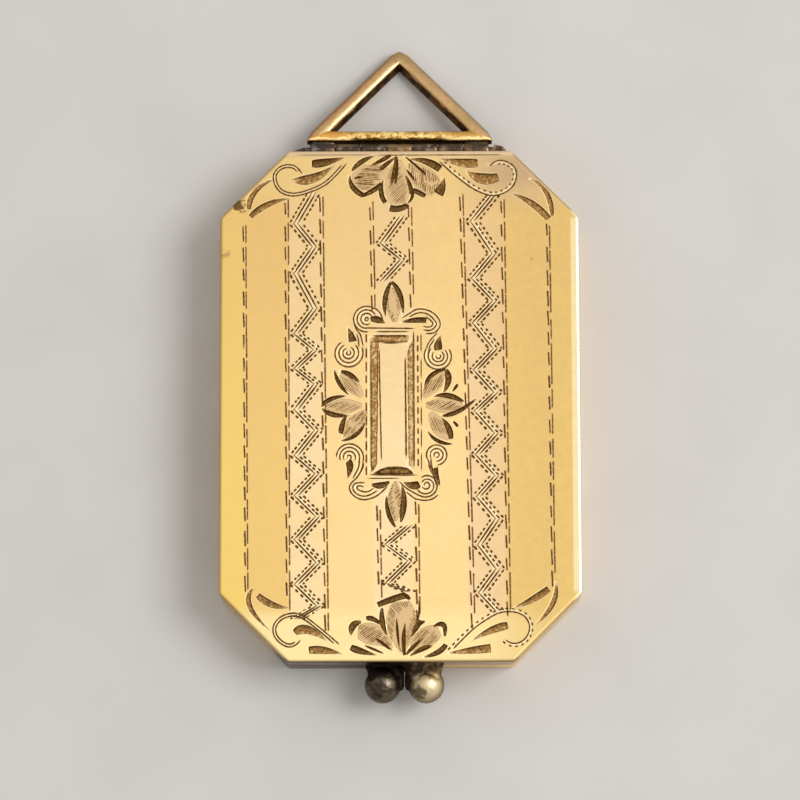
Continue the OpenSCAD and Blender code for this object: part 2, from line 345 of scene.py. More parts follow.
class Engraving:
    def __init__(self):
        self.points = []
        self.edges = []
        self.parts = []
        self.cells = {}

    def chain(self, points, close=False):
        start = len(self.points)
        self.points += [tuple(kept_inside(p)) for p in points]
        n = len(points)
        self.edges += [(start + i, start + (i + 1) % n) for i in range(n if close else n - 1)]

    def part(self, a, b, wa, wb, da, db, keel, profile, wall_a, wall_b, before, after):
        """One straight piece of a cut, filed under the cells of the face that it touches. It also reaches a
        distance before a and after b, which fills the wedges at the outer side of a bend."""
        index = len(self.parts)
        self.parts.append((a, b - a, wa, wb, da, db, keel, profile, wall_a, wall_b, before, after))
        reach = max(wa, wb) / 2
        low = np.floor((np.minimum(a, b) - reach) / CELL).astype(int)
        high = np.floor((np.maximum(a, b) + reach) / CELL).astype(int)
        for i in range(low[0], high[0] + 1):
            for j in range(low[1], high[1] + 1):
                self.cells.setdefault((i, j), []).append(index)

    def inner_outline(self, c, ahead, across, widths, body, inwards):
        """The outline of a cut at a distance inwards from its rim, where the cut is wide enough."""
        k = [max(0.0, 1 - inwards / (w / 2)) if w else 0 for w in widths]
        floor = [i for i in body if k[i] > LEAST_FLOOR]
        if len(floor) < 2:
            return
        along = [c[i] for i in floor]
        if floor[0] == 0:
            along[0] = along[0] + ahead[0] * inwards
        if floor[-1] == len(c) - 1:
            along[-1] = along[-1] - ahead[-1] * inwards
        left = [q + across[i] * k[i] for q, i in zip(along, floor)]
        right = [q - across[i] * k[i] for q, i in zip(along, floor)]
        self.chain(left + right[::-1], close=True)

    def cut(self, centres, widths, depths, keel=0.0, profile=None):
        """A cut along centres. keel, from -1 to 1, is where across the cut it is deepest. In a cut with the
        profile of a Floor, keel is how much the floor leans."""
        c = [np.array(p, float) for p in centres]
        n = len(c)
        ahead = ways(c)
        across = [left_of(t) * w / 2 for t, w in zip(ahead, widths)]
        sharp_a, sharp_b = widths[0] < POINT_W, widths[-1] < POINT_W
        body = range(1 if sharp_a else 0, n - 1 if sharp_b else n)
        rim = [c[i] + across[i] for i in body] + ([c[-1]] if sharp_b else [])
        rim += [c[i] - across[i] for i in reversed(body)] + ([c[0]] if sharp_a else [])
        self.chain(rim, close=True)
        if profile:
            for inwards in profile.insets():
                self.inner_outline(c, ahead, across, widths, body, inwards)
        else:
            line = [q + a * keel for q, a in zip(c, across)]
            if not sharp_a:
                line[0] = line[0] + ahead[0] * END_WALL
            if not sharp_b:
                line[-1] = line[-1] - ahead[-1] * END_WALL
            self.chain(line)
        steps = [unit(c[i + 1] - c[i]) for i in range(n - 1)]
        past = [widths[i + 1] / 4 * math.dist(steps[i], steps[i + 1]) + JOINT_SLACK for i in range(n - 2)]
        past = [END_SLACK] + past + [END_SLACK]
        for i in range(n - 1):
            self.part(
                c[i], c[i + 1], widths[i], widths[i + 1], depths[i], depths[i + 1], keel, profile,
                i == 0 and not sharp_a, i == n - 2 and not sharp_b, past[i], past[i + 1],
            )

    def depth(self, p):
        """How deep the face is cut at the point p."""
        deepest = 0.0
        cell = (math.floor(p[0] / CELL), math.floor(p[1] / CELL))
        for index in self.cells.get(cell, ()):
            a, d, wa, wb, da, db, keel, profile, wall_a, wall_b, before, after = self.parts[index]
            dx, dy = d
            px, py = p[0] - a[0], p[1] - a[1]
            length2 = dx * dx + dy * dy
            t = (px * dx + py * dy) / length2
            length = math.sqrt(length2)
            if t * length < -before or (t - 1) * length > after:
                continue
            t = min(1.0, max(0.0, t))
            half = (wa + (wb - wa) * t) / 2
            if half < 1e-4:
                continue
            s = (dx * py - dy * px) / length / half
            if abs(s) >= 1:
                continue
            d_here = da + (db - da) * t
            if profile:
                e = (1 - abs(s)) * half
                if wall_a:
                    e = min(e, t * length)
                if wall_b:
                    e = min(e, (1 - t) * length)
                share = profile.share(e) * (1 + keel * s)
            elif s > keel:
                share = (1 - s) / (1 - keel)
            else:
                share = (1 + s) / (1 + keel)
            if wall_a and not profile:
                share = min(share, t * length / END_WALL)
            if wall_b and not profile:
                share = min(share, (1 - t) * length / END_WALL)
            deepest = max(deepest, d_here * share)
        return deepest


rng = random.Random(7)
cuts = Engraving()


def between(a, b, t):
    return (a[0] + (b[0] - a[0]) * t, a[1] + (b[1] - a[1]) * t)


def dash(a, b, width, depth, taper=0.2):
    cuts.cut([between(a, b, t) for t in (0, taper, 1 - taper, 1)], [0, width, width, 0], [0, depth, depth, 0])


def dashes(a, b, length, period, width, depth, start=0.0, taper=0.2):
    total = math.dist(a, b)
    s = start
    while s + length * 0.5 < total:
        e = min(s + length * rng.uniform(0.85, 1.15), total)
        p, q = between(a, b, s / total), between(a, b, e / total)
        dash(p, q, width * rng.uniform(0.85, 1.15), depth, taper)
        s += period * rng.uniform(0.92, 1.08)


def scored(points, width, depth):
    """A solid line through the points, pointed at both ends."""
    n = len(points)
    widths, depths = [], []
    for i in range(n):
        taper = min(1.0, 0.6 + 0.4 * min(i, n - 1 - i) / 2)
        widths.append(0 if i in (0, n - 1) else width * taper * rng.uniform(0.8, 1.2))
        depths.append(depth * taper)
    cuts.cut(points, widths, depths)


BED_DEPTH = 0.003
BED_FLOOR = Floor(0.035, 0.04, 1.0)
RIM_W = 0.055


def bed(centres, widths):
    """A bed, hardly sunk, in which deeper cuts lie; the face paints it cream as a painted highlight."""
    cuts.cut(centres, widths, [BED_DEPTH if w else 0 for w in widths], profile=BED_FLOOR)


def even_bed(centres, width):
    bed(centres, [width] * len(centres))


def lengthened(a, b, more):
    along = unit(np.array(b) - np.array(a)) * more
    return tuple(np.array(a) - along), tuple(np.array(b) + along)


def straight(a, b, step):
    n = max(3, round(math.dist(a, b) / step) + 1)
    return [between(a, b, i / (n - 1)) for i in range(n)]


def curve(points, step):
    """A smooth curve through the points, in steps of about the given length."""
    p = [np.array(q, float) for q in points]
    p = [2 * p[0] - p[1]] + p + [2 * p[-1] - p[-2]]
    out = []
    for i in range(1, len(p) - 2):
        count = max(2, round(np.linalg.norm(p[i + 1] - p[i]) / step))
        for k in range(count):
            t = k / count
            out.append(0.5 * (
                2 * p[i] + (p[i + 1] - p[i - 1]) * t
                + (2 * p[i - 1] - 5 * p[i] + 4 * p[i + 1] - p[i + 2]) * t * t
                + (3 * p[i] - 3 * p[i + 1] + p[i + 2] - p[i - 1]) * t ** 3
            ))
    out.append(p[-2])
    return out


def arc(cx, cy, r0, r1, a0, a1, step):
    """An arc whose radius changes evenly, from angle a0 to a1 in degrees."""
    length = abs(math.radians(a1 - a0)) * (r0 + r1) / 2
    n = max(6, round(length / step))
    out = []
    for i in range(n + 1):
        t = i / n
        a, r = math.radians(a0 + (a1 - a0) * t), r0 + (r1 - r0) * t
        out.append((cx + r * math.cos(a), cy + r * math.sin(a)))
    return out


def beside(points, gap):
    """The curve that runs beside another at a distance, to its left where gap is positive."""
    p = [np.array(q, float) for q in points]
    return [q + left_of(t) * gap for q, t in zip(p, ways(p))]


# Pairs of lines down the face: leaning dashes, and beside them a line that is all but unbroken.
# Columns: x at the top, x at the bottom, y at the top, y at the bottom, distance to the second line.
PAIRS = [
    (-9.69, -9.50, 11.35, -11.45, 0.17),
    (-7.10, -6.97, 12.95, -12.75, 0.20),
    (-4.96, -4.62, 13.15, -14.05, 0.20),
    (-1.86, -1.74, 12.75, 6.00, 0.20),
    (0.52, 0.64, 12.50, 6.20, 0.20),
    (-1.46, -1.36, -6.20, -12.00, 0.20),
    (0.90, 0.96, -6.00, -13.30, 0.20),
    (3.70, 4.31, 13.40, -13.80, 0.20),
    (6.25, 6.47, 12.90, -12.75, 0.20),
    (9.06, 9.22, 11.30, -11.30, 0.18),
]
PAIR_LEAN = 0.045
PAIR_TAPER = 0.07
DASH_PERIOD = 1.36
DASH_LEN = 0.92
LONG_LEN = 1.36
LONG_PERIOD = 1.46
DASH_W = 0.135
LONG_W = 0.14
DASH_DEPTH = 0.07
LONG_DEPTH = 0.056

for x0, x1, y0, y1, gap in PAIRS:
    long_start = rng.uniform(0, 0.3)
    dashes((x0 + gap, y0), (x1 + gap, y1), LONG_LEN, LONG_PERIOD, LONG_W, LONG_DEPTH, long_start, PAIR_TAPER)
    y = y0 - rng.uniform(0, 0.6)
    while y - DASH_LEN / 2 > y1:
        x = x0 + (x1 - x0) * (y0 - y) / (y0 - y1)
        low = y - DASH_LEN * rng.uniform(0.85, 1.15)
        dash((x, y), (x + PAIR_LEAN, low), DASH_W * rng.uniform(0.8, 1.2), DASH_DEPTH, PAIR_TAPER)
        y -= DASH_PERIOD * rng.uniform(0.92, 1.08)

# Zigzags. Rows of turning points run down each one, and it swings between its left and its right x.
# Columns: the rows, both x at the first row, both x at the last row, how many strokes have solid lines.
LEFT_ROWS = [
    13.22, 11.29, 9.84, 8.16, 5.97, 4.39, 3.4, 2.23, 1.26, -0.33,
    -1.61, -3.18, -4.3, -5.66, -6.94, -8.36, -9.77, -11.11, -12.44, -13.24,
]
RIGHT_ROWS = [
    13.08, 11.43, 9.39, 7.84, 6.43, 5.05, 3.42, 2.11, 0.71, -0.44,
    -1.83, -3.14, -4.45, -5.74, -7.11, -8.72, -10.2, -11.65, -12.83,
]
TOP_ROWS = [11.76, 10.05, 9.02, 7.62]
BOTTOM_ROWS = [-7.51, -8.67, -9.69, -11.05, -11.6]
ZIGZAGS = [
    (LEFT_ROWS, (-6.42, -5.30), (-6.34, -4.98), 4),
    (RIGHT_ROWS, (4.47, 5.82), (4.90, 5.96), 0),
    (TOP_ROWS, (-1.06, 0.16), (-1.10, 0.18), 0),
    (BOTTOM_ROWS, (-0.82, 0.56), (-0.80, 0.58), 0),
]
SCORE_DEPTH = 0.08
STROKE_BED_W = 0.40
BED_STEP = 0.5
SCORE_STEP = 0.3
SCORE_MORE = 0.1

# The four lines of a stroke that falls to the left, of one that falls to the right, and of one of the strokes
# with solid lines. Columns: offset in x, length and period of its dashes, width. A period of 0 is a solid
# line.
FALLS_LEFT = [(-0.40, 0.24, 0.31, 0.14), (-0.14, 0, 0, 0.13), (0.11, 0, 0, 0.13), (0.38, 0.26, 0.34, 0.14)]
FALLS_RIGHT = [
    (-0.41, 0.30, 0.42, 0.17), (-0.14, 0, 0, 0.12), (0.13, 0.28, 0.34, 0.13), (0.40, 0.24, 0.38, 0.15),
]
SOLID_RIGHT = [
    (-0.41, 0.30, 0.42, 0.17), (-0.14, 0, 0, 0.12), (0.12, 0, 0, 0.125), (0.40, 0.24, 0.38, 0.15),
]

for rows, top, bottom, solid in ZIGZAGS:
    last = len(rows) - 1
    for i in range(last):
        falls_left = i % 2 == 0
        ends = []
        for k in (i, i + 1):
            side = (k + 1) % 2
            ends.append((top[side] + (bottom[side] - top[side]) * k / last, rows[k]))
        lines = FALLS_LEFT if falls_left else SOLID_RIGHT if i < solid else FALLS_RIGHT
        even_bed(straight(*ends, BED_STEP), STROKE_BED_W)
        for shift, length, period, width in lines:
            a, b = [(x + shift, y) for x, y in ends]
            if period:
                dashes(a, b, length, period, width, SCORE_DEPTH, rng.uniform(0, 0.1))
            else:
                scored(straight(*lengthened(a, b, SCORE_MORE), SCORE_STEP), width, SCORE_DEPTH)

# Gouges: pointed or blunt cuts through three places. Columns: x and y of the start, of a place halfway
# and of the end, width, share of the width at the start and at the end, and where the cut is widest.
CORNER_GOUGES = [
    (-6.80, 14.05, -5.35, 14.15, -3.95, 15.05, 0.64, 0.0, 0.0, 0.35),
    (-7.70, 14.15, -8.95, 13.30, -9.33, 12.15, 0.38, 0.25, 0.6, 0.75),
    (-9.25, 11.70, -8.15, 12.50, -6.65, 12.90, 0.42, 0.8, 0.0, 0.30),
    (2.30, 15.42, 3.70, 15.12, 4.88, 15.08, 0.62, 0.0, 0.8, 0.80),
    (4.05, 14.65, 5.05, 14.10, 6.15, 14.20, 0.74, 0.0, 0.7, 0.60),
    (8.00, 14.10, 9.05, 13.25, 9.42, 11.70, 0.34, 0.2, 0.6, 0.75),
    (6.70, 13.20, 8.05, 12.60, 9.20, 11.55, 0.46, 0.0, 0.9, 0.75),
    (-8.95, -11.30, -9.20, -12.45, -7.85, -14.05, 0.34, 0.25, 0.0, 0.40),
    (-8.75, -11.75, -7.85, -12.35, -6.70, -12.55, 0.46, 0.8, 0.0, 0.30),
    (-6.50, -14.10, -5.65, -13.90, -4.45, -14.65, 0.60, 0.6, 0.0, 0.30),
    (-5.65, -15.15, -4.70, -15.15, -3.50, -15.40, 0.52, 0.8, 0.0, 0.30),
    (6.75, -12.60, 7.90, -12.15, 9.05, -11.40, 0.46, 0.0, 0.9, 0.75),
    (9.42, -10.95, 9.25, -12.35, 8.05, -13.75, 0.34, 0.25, 0.0, 0.45),
    (4.20, -14.65, 5.40, -14.00, 6.55, -13.65, 0.52, 0.0, 0.8, 0.85),
    (2.55, -15.40, 4.10, -15.20, 5.50, -15.05, 0.54, 0.0, 1.0, 0.95),
]
FLOWER_GOUGES = [
    (-5.48, 15.06, -4.55, 15.16, -3.35, 15.48, 0.56, 0.75, 0.0, 0.25),
    (-1.45, 15.58, -2.33, 15.20, -2.97, 14.58, 0.34, 0.0, 0.4, 0.55),
    (-0.55, 15.60, -1.25, 15.20, -2.00, 14.87, 0.29, 0.7, 0.0, 0.25),
    (-0.20, 15.50, -0.70, 15.12, -1.20, 14.70, 0.30, 0.2, 0.7, 0.85),
    (-0.25, 15.66, -0.29, 14.70, -0.60, 13.62, 0.30, 0.3, 0.2, 0.60),
    (-0.15, 15.50, -0.20, 14.60, -0.27, 13.60, 0.25, 0.4, 0.2, 0.50),
    (-3.06, 14.40, -2.95, 13.66, -2.30, 13.08, 0.37, 0.2, 0.9, 0.80),
    (-2.42, 13.00, -1.75, 13.30, -1.10, 13.76, 0.33, 0.6, 1.0, 0.60),
    (-0.98, 14.12, -1.15, 13.25, -0.85, 12.56, 0.33, 0.1, 0.9, 0.55),
    (-0.66, 12.27, -0.10, 12.21, 0.52, 12.43, 0.43, 1.0, 0.7, 0.40),
    (0.30, 14.36, 0.58, 13.85, 0.76, 13.12, 0.30, 0.2, 1.0, 0.90),
    (0.80, 13.25, 0.73, 12.85, 0.45, 12.52, 0.22, 1.0, 0.3, 0.20),
    (0.82, 13.40, 1.22, 13.20, 1.60, 13.00, 0.34, 0.9, 0.8, 0.50),
    (2.77, 14.26, 2.63, 13.62, 2.37, 13.12, 0.66, 0.0, 1.0, 1.00),
    (0.58, 15.33, 1.65, 15.18, 2.55, 14.68, 0.52, 0.1, 0.9, 0.85),
    (0.15, 15.66, 0.90, 15.03, 1.75, 14.25, 0.17, 0.4, 0.6, 0.70),
    (0.36, 14.78, 0.65, 14.38, 0.98, 13.98, 0.18, 0.2, 0.4, 0.60),
    (-2.80, 14.12, -2.50, 14.20, -2.15, 14.22, 0.15, 0.8, 0.0, 0.30),
    (-2.38, -13.42, -2.92, -13.66, -3.03, -14.30, 0.45, 0.3, 0.1, 0.50),
    (-2.16, -13.22, -1.72, -13.24, -1.20, -13.58, 0.33, 0.6, 0.5, 0.35),
    (-3.10, -14.95, -2.45, -15.20, -1.40, -15.47, 0.45, 0.7, 0.0, 0.30),
    (-2.35, -14.80, -1.70, -15.08, -0.85, -15.44, 0.17, 0.2, 0.1, 0.50),
    (-1.78, -14.28, -1.10, -14.75, -0.35, -15.35, 0.21, 0.1, 0.1, 0.50),
    (-1.13, -12.55, -1.13, -13.40, -0.80, -14.38, 0.36, 0.4, 0.0, 0.50),
    (-1.45, -12.40, -0.55, -12.05, 0.30, -11.80, 0.42, 0.8, 1.0, 0.80),
    (0.20, -11.75, 0.42, -11.92, 0.56, -12.10, 0.28, 0.8, 0.4, 0.40),
    (-0.27, -13.15, -0.20, -14.15, -0.08, -15.20, 0.18, 0.3, 0.2, 0.40),
    (0.28, -13.40, 0.16, -14.45, 0.22, -15.50, 0.27, 0.1, 0.7, 0.50),
    (1.08, -12.15, 1.11, -12.75, 1.00, -13.40, 0.13, 0.5, 0.9, 0.70),
    (1.15, -13.30, 0.95, -13.75, 0.50, -14.50, 0.37, 0.4, 0.0, 0.35),
    (1.50, -13.40, 1.25, -13.48, 0.98, -13.70, 0.25, 0.3, 0.8, 0.60),
    (1.48, -14.35, 0.85, -14.85, 0.32, -15.42, 0.25, 0.1, 0.5, 0.60),
    (1.95, -14.88, 1.25, -15.10, 0.45, -15.56, 0.33, 0.2, 0.1, 0.40),
    (2.75, -14.78, 2.25, -15.28, 1.30, -15.60, 0.36, 0.8, 0.1, 0.40),
    (1.98, -13.72, 2.58, -13.62, 2.65, -14.35, 0.34, 0.4, 0.4, 0.50),
]
LEAF_GOUGES = [
    (-4.05, 2.20, -3.75, 1.30, -3.05, 0.45, 0.28, 0.2, 0.0, 0.50),
    (-3.75, 2.05, -3.05, 1.80, -2.40, 1.25, 0.34, 0.3, 0.0, 0.45),
    (-4.85, -0.15, -4.15, 0.35, -3.00, 0.50, 0.32, 0.3, 0.0, 0.30),
    (-4.85, -0.20, -4.15, -0.65, -3.00, -0.70, 0.34, 0.2, 0.0, 0.50),
    (-3.30, -0.70, -3.55, -1.25, -3.65, -1.85, 0.36, 0.4, 0.7, 0.75),
    (-2.05, -0.80, -2.65, -1.85, -3.75, -2.30, 0.28, 0.0, 0.1, 0.55),
    (1.45, 0.90, 1.90, 1.75, 2.80, 2.15, 0.30, 0.0, 0.6, 0.50),
    (2.80, 2.15, 2.95, 1.40, 2.55, 0.55, 0.42, 0.5, 0.0, 0.35),
    (1.95, 0.40, 2.95, 0.50, 4.05, 0.00, 0.38, 0.0, 0.2, 0.55),
    (2.35, -0.75, 3.50, -0.50, 4.70, 0.35, 0.32, 0.0, 0.3, 0.40),
    (2.50, -0.85, 2.95, -1.50, 3.10, -2.20, 0.40, 0.2, 0.7, 0.60),
    (1.55, -1.45, 2.20, -2.25, 3.25, -2.50, 0.26, 0.0, 0.2, 0.60),
    (3.55, 1.25, 3.35, 0.95, 3.15, 0.70, 0.20, 0.6, 0.0, 0.30),
    (3.15, -1.00, 3.35, -1.20, 3.55, -1.45, 0.20, 0.0, 0.8, 0.70),
    (-0.55, 7.60, -0.92, 6.55, -0.88, 5.38, 0.33, 0.6, 0.1, 0.50),
    (-0.52, 7.62, 0.02, 6.75, 0.19, 5.42, 0.35, 0.6, 0.1, 0.45),
    (-0.80, -5.35, -0.80, -6.55, -0.30, -7.65, 0.30, 0.0, 0.4, 0.65),
    (0.00, -4.90, 0.20, -5.90, 0.00, -7.35, 0.42, 0.0, 0.3, 0.70),
    (-1.86, 5.25, -1.42, 5.26, -0.90, 5.00, 0.46, 0.5, 0.0, 0.50),
    (-0.20, 5.00, 0.80, 5.20, 1.65, 5.20, 0.38, 0.0, 0.9, 0.75),
    (-1.85, -4.95, -1.25, -5.05, -0.65, -4.80, 0.42, 0.2, 0.3, 0.50),
    (0.10, -4.80, 0.70, -5.05, 1.20, -4.95, 0.52, 0.0, 0.7, 0.70),
    (-3.25, 4.88, -3.02, 4.30, -2.90, 3.84, 0.52, 0.0, 1.0, 1.00),
    (-3.20, -3.50, -3.10, -4.00, -3.30, -4.70, 0.46, 0.8, 0.0, 0.25),
    (2.50, 4.30, 2.35, 3.75, 2.35, 3.30, 0.54, 0.0, 0.7, 0.75),
    (2.15, -3.95, 2.20, -4.35, 2.35, -5.00, 0.32, 0.8, 0.0, 0.20),
]
GOUGE_STEPS = 9
# Chatter marks on the floor of a gouge: how far from its middle they start, as a share of its width, how far
# they run, their width, and how much deeper than the gouge they are.
MARK_SPREAD = 0.32
MARK_REACH = 0.09
MARK_W = 0.07
MARK_DEEPER = 1.25
GOUGE_FLOOR = Floor(0.045, 0.12, 1.35)
CORNER_DEPTH = 0.042
FLOWER_DEPTH = 0.062


def swept(row, steps):
    """The centre line and widths of a row of a gouge table."""
    x0, y0, xm, ym, x1, y1, width, share0, share1, peak = row
    a, m, b = np.array([x0, y0]), np.array([xm, ym]), np.array([x1, y1])
    handle = 2 * m - (a + b) / 2
    centres, widths = [], []
    for i in range(steps + 1):
        t = i / steps
        centres.append((1 - t) ** 2 * a + 2 * t * (1 - t) * handle + t * t * b)
        if t < peak:
            k = share0 + (1 - share0) * math.sin(math.pi / 2 * t / peak)
        elif peak < 1:
            k = share1 + (1 - share1) * math.cos(math.pi / 2 * (t - peak) / (1 - peak)) ** 0.9
        else:
            k = 1.0
        widths.append(width * k if k > 0.06 else 0)
    return centres, widths


def gouge_row(row, depth, keel, speckle):
    """One row of a gouge table. speckle is how many chatter marks a square millimetre of its floor has."""
    centres, widths = swept(row, GOUGE_STEPS)
    full = row[6]
    bed(centres, [w + 2 * RIM_W if w else 0 for w in widths])
    depths = [depth * min(1.0, w / full + 0.2) if w else 0 for w in widths]
    cuts.cut(centres, widths, depths, keel, GOUGE_FLOOR)
    for _ in range(int(speckle * full * math.dist(centres[0], centres[-1]))):
        i = rng.randrange(2, GOUGE_STEPS - 1)
        t = unit(centres[i + 1] - centres[i - 1])
        n = left_of(t)
        p = centres[i] + n * widths[i] * rng.uniform(-MARK_SPREAD, MARK_SPREAD)
        q = p + (n * rng.uniform(-1, 1) + t * rng.uniform(-1, 1)) * MARK_REACH
        dash(p, q + n * 0.02, MARK_W, depth * MARK_DEEPER)


# Petals and leaves: hardly sunk and hatched, inside the gouges. They have the columns of a gouge, and then
# the angle of the hatching in degrees, how much of each hatched line is cut, from both ends, and its width.
PETALS = [
    (-0.75, 14.80, -1.80, 14.26, -2.98, 14.05, 1.64, 0.3, 0.4, 0.62, -4, 1.00, 0.085),
    (0.00, 15.30, -0.13, 14.10, -0.12, 12.48, 1.62, 0.1, 0.6, 0.62, 42, 1.00, 0.058),
    (0.55, 15.10, 1.32, 14.28, 2.30, 13.36, 1.50, 0.1, 0.7, 0.65, -84, 0.72, 0.085),
    (-0.55, -15.05, -1.42, -14.30, -2.66, -14.06, 1.34, 0.1, 0.6, 0.70, 35, 1.00, 0.066),
    (0.05, -15.30, 0.05, -13.90, -0.02, -12.18, 1.92, 0.1, 0.6, 0.65, -52, 0.40, 0.060),
    (0.55, -15.20, 1.28, -14.53, 2.34, -13.98, 1.22, 0.1, 0.6, 0.70, 48, 1.00, 0.062),
    (-0.36, 5.10, -0.42, 6.30, -0.48, 7.40, 0.96, 0.3, 0.0, 0.45, 50, 0.35, 0.065),
    (-0.33, -4.80, -0.33, -6.05, -0.33, -7.40, 1.00, 0.2, 0.0, 0.50, 45, 0.50, 0.065),
    (-2.35, 0.45, -3.05, 1.25, -3.80, 1.90, 0.92, 0.3, 0.0, 0.50, -45, 1.00, 0.055),
    (-2.35, -0.10, -3.50, -0.15, -4.70, -0.18, 0.94, 0.3, 0.0, 0.50, 30, 1.00, 0.055),
    (-2.10, -0.42, -2.85, -1.30, -3.55, -2.10, 1.02, 0.3, 0.0, 0.50, 50, 0.60, 0.065),
    (1.40, 0.42, 2.10, 1.30, 2.75, 2.08, 0.98, 0.3, 0.0, 0.50, 60, 1.00, 0.085),
    (1.55, -0.08, 2.75, -0.08, 3.95, -0.05, 0.98, 0.3, 0.0, 0.50, 30, 1.00, 0.085),
    (1.80, -0.55, 2.40, -1.45, 2.98, -2.30, 1.02, 0.3, 0.0, 0.50, -65, 1.00, 0.070),
]
PETAL_DEPTH = 0.012
PETAL_FLOOR = Floor(0.03, 0.06, 1.6)
PETAL_STEPS = 14
HATCH_STEP = 0.108
HATCH_DEPTH = 0.048
HATCH_MARGIN = 0.04
HATCH_SAMPLE = 0.05


def is_inside(outline, q):
    """Whether the point q lies inside the outline."""
    odd = False
    for (xa, ya), (xb, yb) in zip(outline, outline[1:] + outline[:1]):
        if (ya > q[1]) != (yb > q[1]) and q[0] < xa + (xb - xa) * (q[1] - ya) / (yb - ya):
            odd = not odd
    return odd


def petal(columns):
    row, (hatch, cut_share, hatch_w) = columns[:10], columns[10:]
    centres, widths = swept(row, PETAL_STEPS)
    cuts.cut(centres, widths, [PETAL_DEPTH if w else 0 for w in widths], profile=PETAL_FLOOR)
    sides = [[], []]
    for c, w, t in zip(centres, widths, ways(centres)):
        n = left_of(t) * max(w / 2 - HATCH_MARGIN, 0.0)
        sides[0].append(tuple(c + n))
        sides[1].append(tuple(c - n))
    outline = sides[0] + sides[1][::-1]
    angle = math.radians(hatch)
    run = np.array([math.cos(angle), math.sin(angle)])
    step = left_of(run) * HATCH_STEP
    middle = (centres[0] + centres[-1]) / 2
    reach = math.dist(centres[0], centres[-1])
    count = int(reach / HATCH_STEP)
    for k in range(-count, count + 1):
        base = middle + step * (k + rng.uniform(-0.15, 0.15))
        line = [base + run * s for s in np.arange(-reach, reach, HATCH_SAMPLE)]
        inside = [p for p in line if is_inside(outline, p)]
        if len(inside) < 5:
            continue
        p, q = inside[0], inside[-1]
        if cut_share < 1:
            spans = ((0, cut_share * rng.uniform(0.5, 1)), (1 - cut_share * rng.uniform(0.5, 1), 1))
        else:
            spans = ((rng.uniform(0, 0.1), rng.uniform(0.8, 1)),)
        for s0, s1 in spans:
            width, depth = hatch_w * rng.uniform(0.7, 1.2), HATCH_DEPTH * rng.uniform(0.6, 1.2)
            dash(between(p, q, s0), between(p, q, s1), width, depth)


for row in PETALS:
    petal(row)
for row in CORNER_GOUGES:
    gouge_row(row, CORNER_DEPTH, 0.35, 6)
for row in FLOWER_GOUGES + LEAF_GOUGES:
    gouge_row(row, FLOWER_DEPTH, 0.2, 5)

# Volutes beside the panel. Columns: x and y of the centre, first and last radius, first and last angle.
ARCS = [
    (-2.06, 5.28, 0.12, 0.10, 0, 300),
    (-2.06, 5.28, 0.38, 0.34, 38, 297),
    (-2.06, 5.28, 0.60, 0.57, 33, 270),
    (-2.06, 5.28, 1.00, 0.81, -2, 60),
    (-2.06, 5.28, 0.81, 0.79, 60, 272),
    (-3.19, 3.17, 0.92, 0.78, 20, -235),
    (-3.19, 3.17, 0.66, 0.54, 45, -240),
    (-3.19, 3.17, 0.39, 0.32, 60, -240),
    (-3.19, 3.17, 0.18, 0.09, 60, -240),
    (-3.16, -3.30, 0.92, 0.75, -20, 175),
    (-3.16, -3.30, 0.69, 0.54, -25, 195),
    (-3.16, -3.30, 0.42, 0.32, -20, 200),
    (-3.16, -3.30, 0.17, 0.11, -60, 200),
    (2.36, 2.97, 0.89, 0.77, 150, 390),
    (2.36, 2.97, 0.65, 0.54, 140, 400),
    (2.36, 2.97, 0.40, 0.32, 150, 410),
    (2.36, 2.97, 0.20, 0.11, 160, 420),
    (2.22, -3.17, 0.62, 0.62, 200, -80),
    (2.22, -3.17, 0.40, 0.39, 205, -85),
    (2.22, -3.17, 0.18, 0.15, 200, -90),
    (1.58, -5.03, 0.11, 0.29, 150, -120),
    (1.58, -5.03, 0.30, 0.62, 135, -143),
    (1.58, -5.03, 0.55, 0.78, 115, -126),
]
SCROLL_W = 0.115
SCROLL_DEPTH = 0.07
ARC_MORE = 0.12
# The beds that lie beside the arcs and the scrolls.
ARC_BED_W = 0.12
SCROLL_BED_GAP = 0.09
SCROLL_BED_W = 0.1
CURVE_STEP = 0.12
CURL_STEP = 0.13
for cx, cy, r0, r1, a0, a1 in ARCS:
    turn = math.copysign(math.degrees(ARC_MORE / r0), a1 - a0)
    if r0 > 0.3:
        even_bed(arc(cx, cy, r0 - ARC_BED_W, r1 - ARC_BED_W, a0, a1, 0.2), ARC_BED_W)
    scored(arc(cx, cy, r0, r1, a0 - turn, a1 + turn, CURVE_STEP), SCROLL_W, SCROLL_DEPTH)

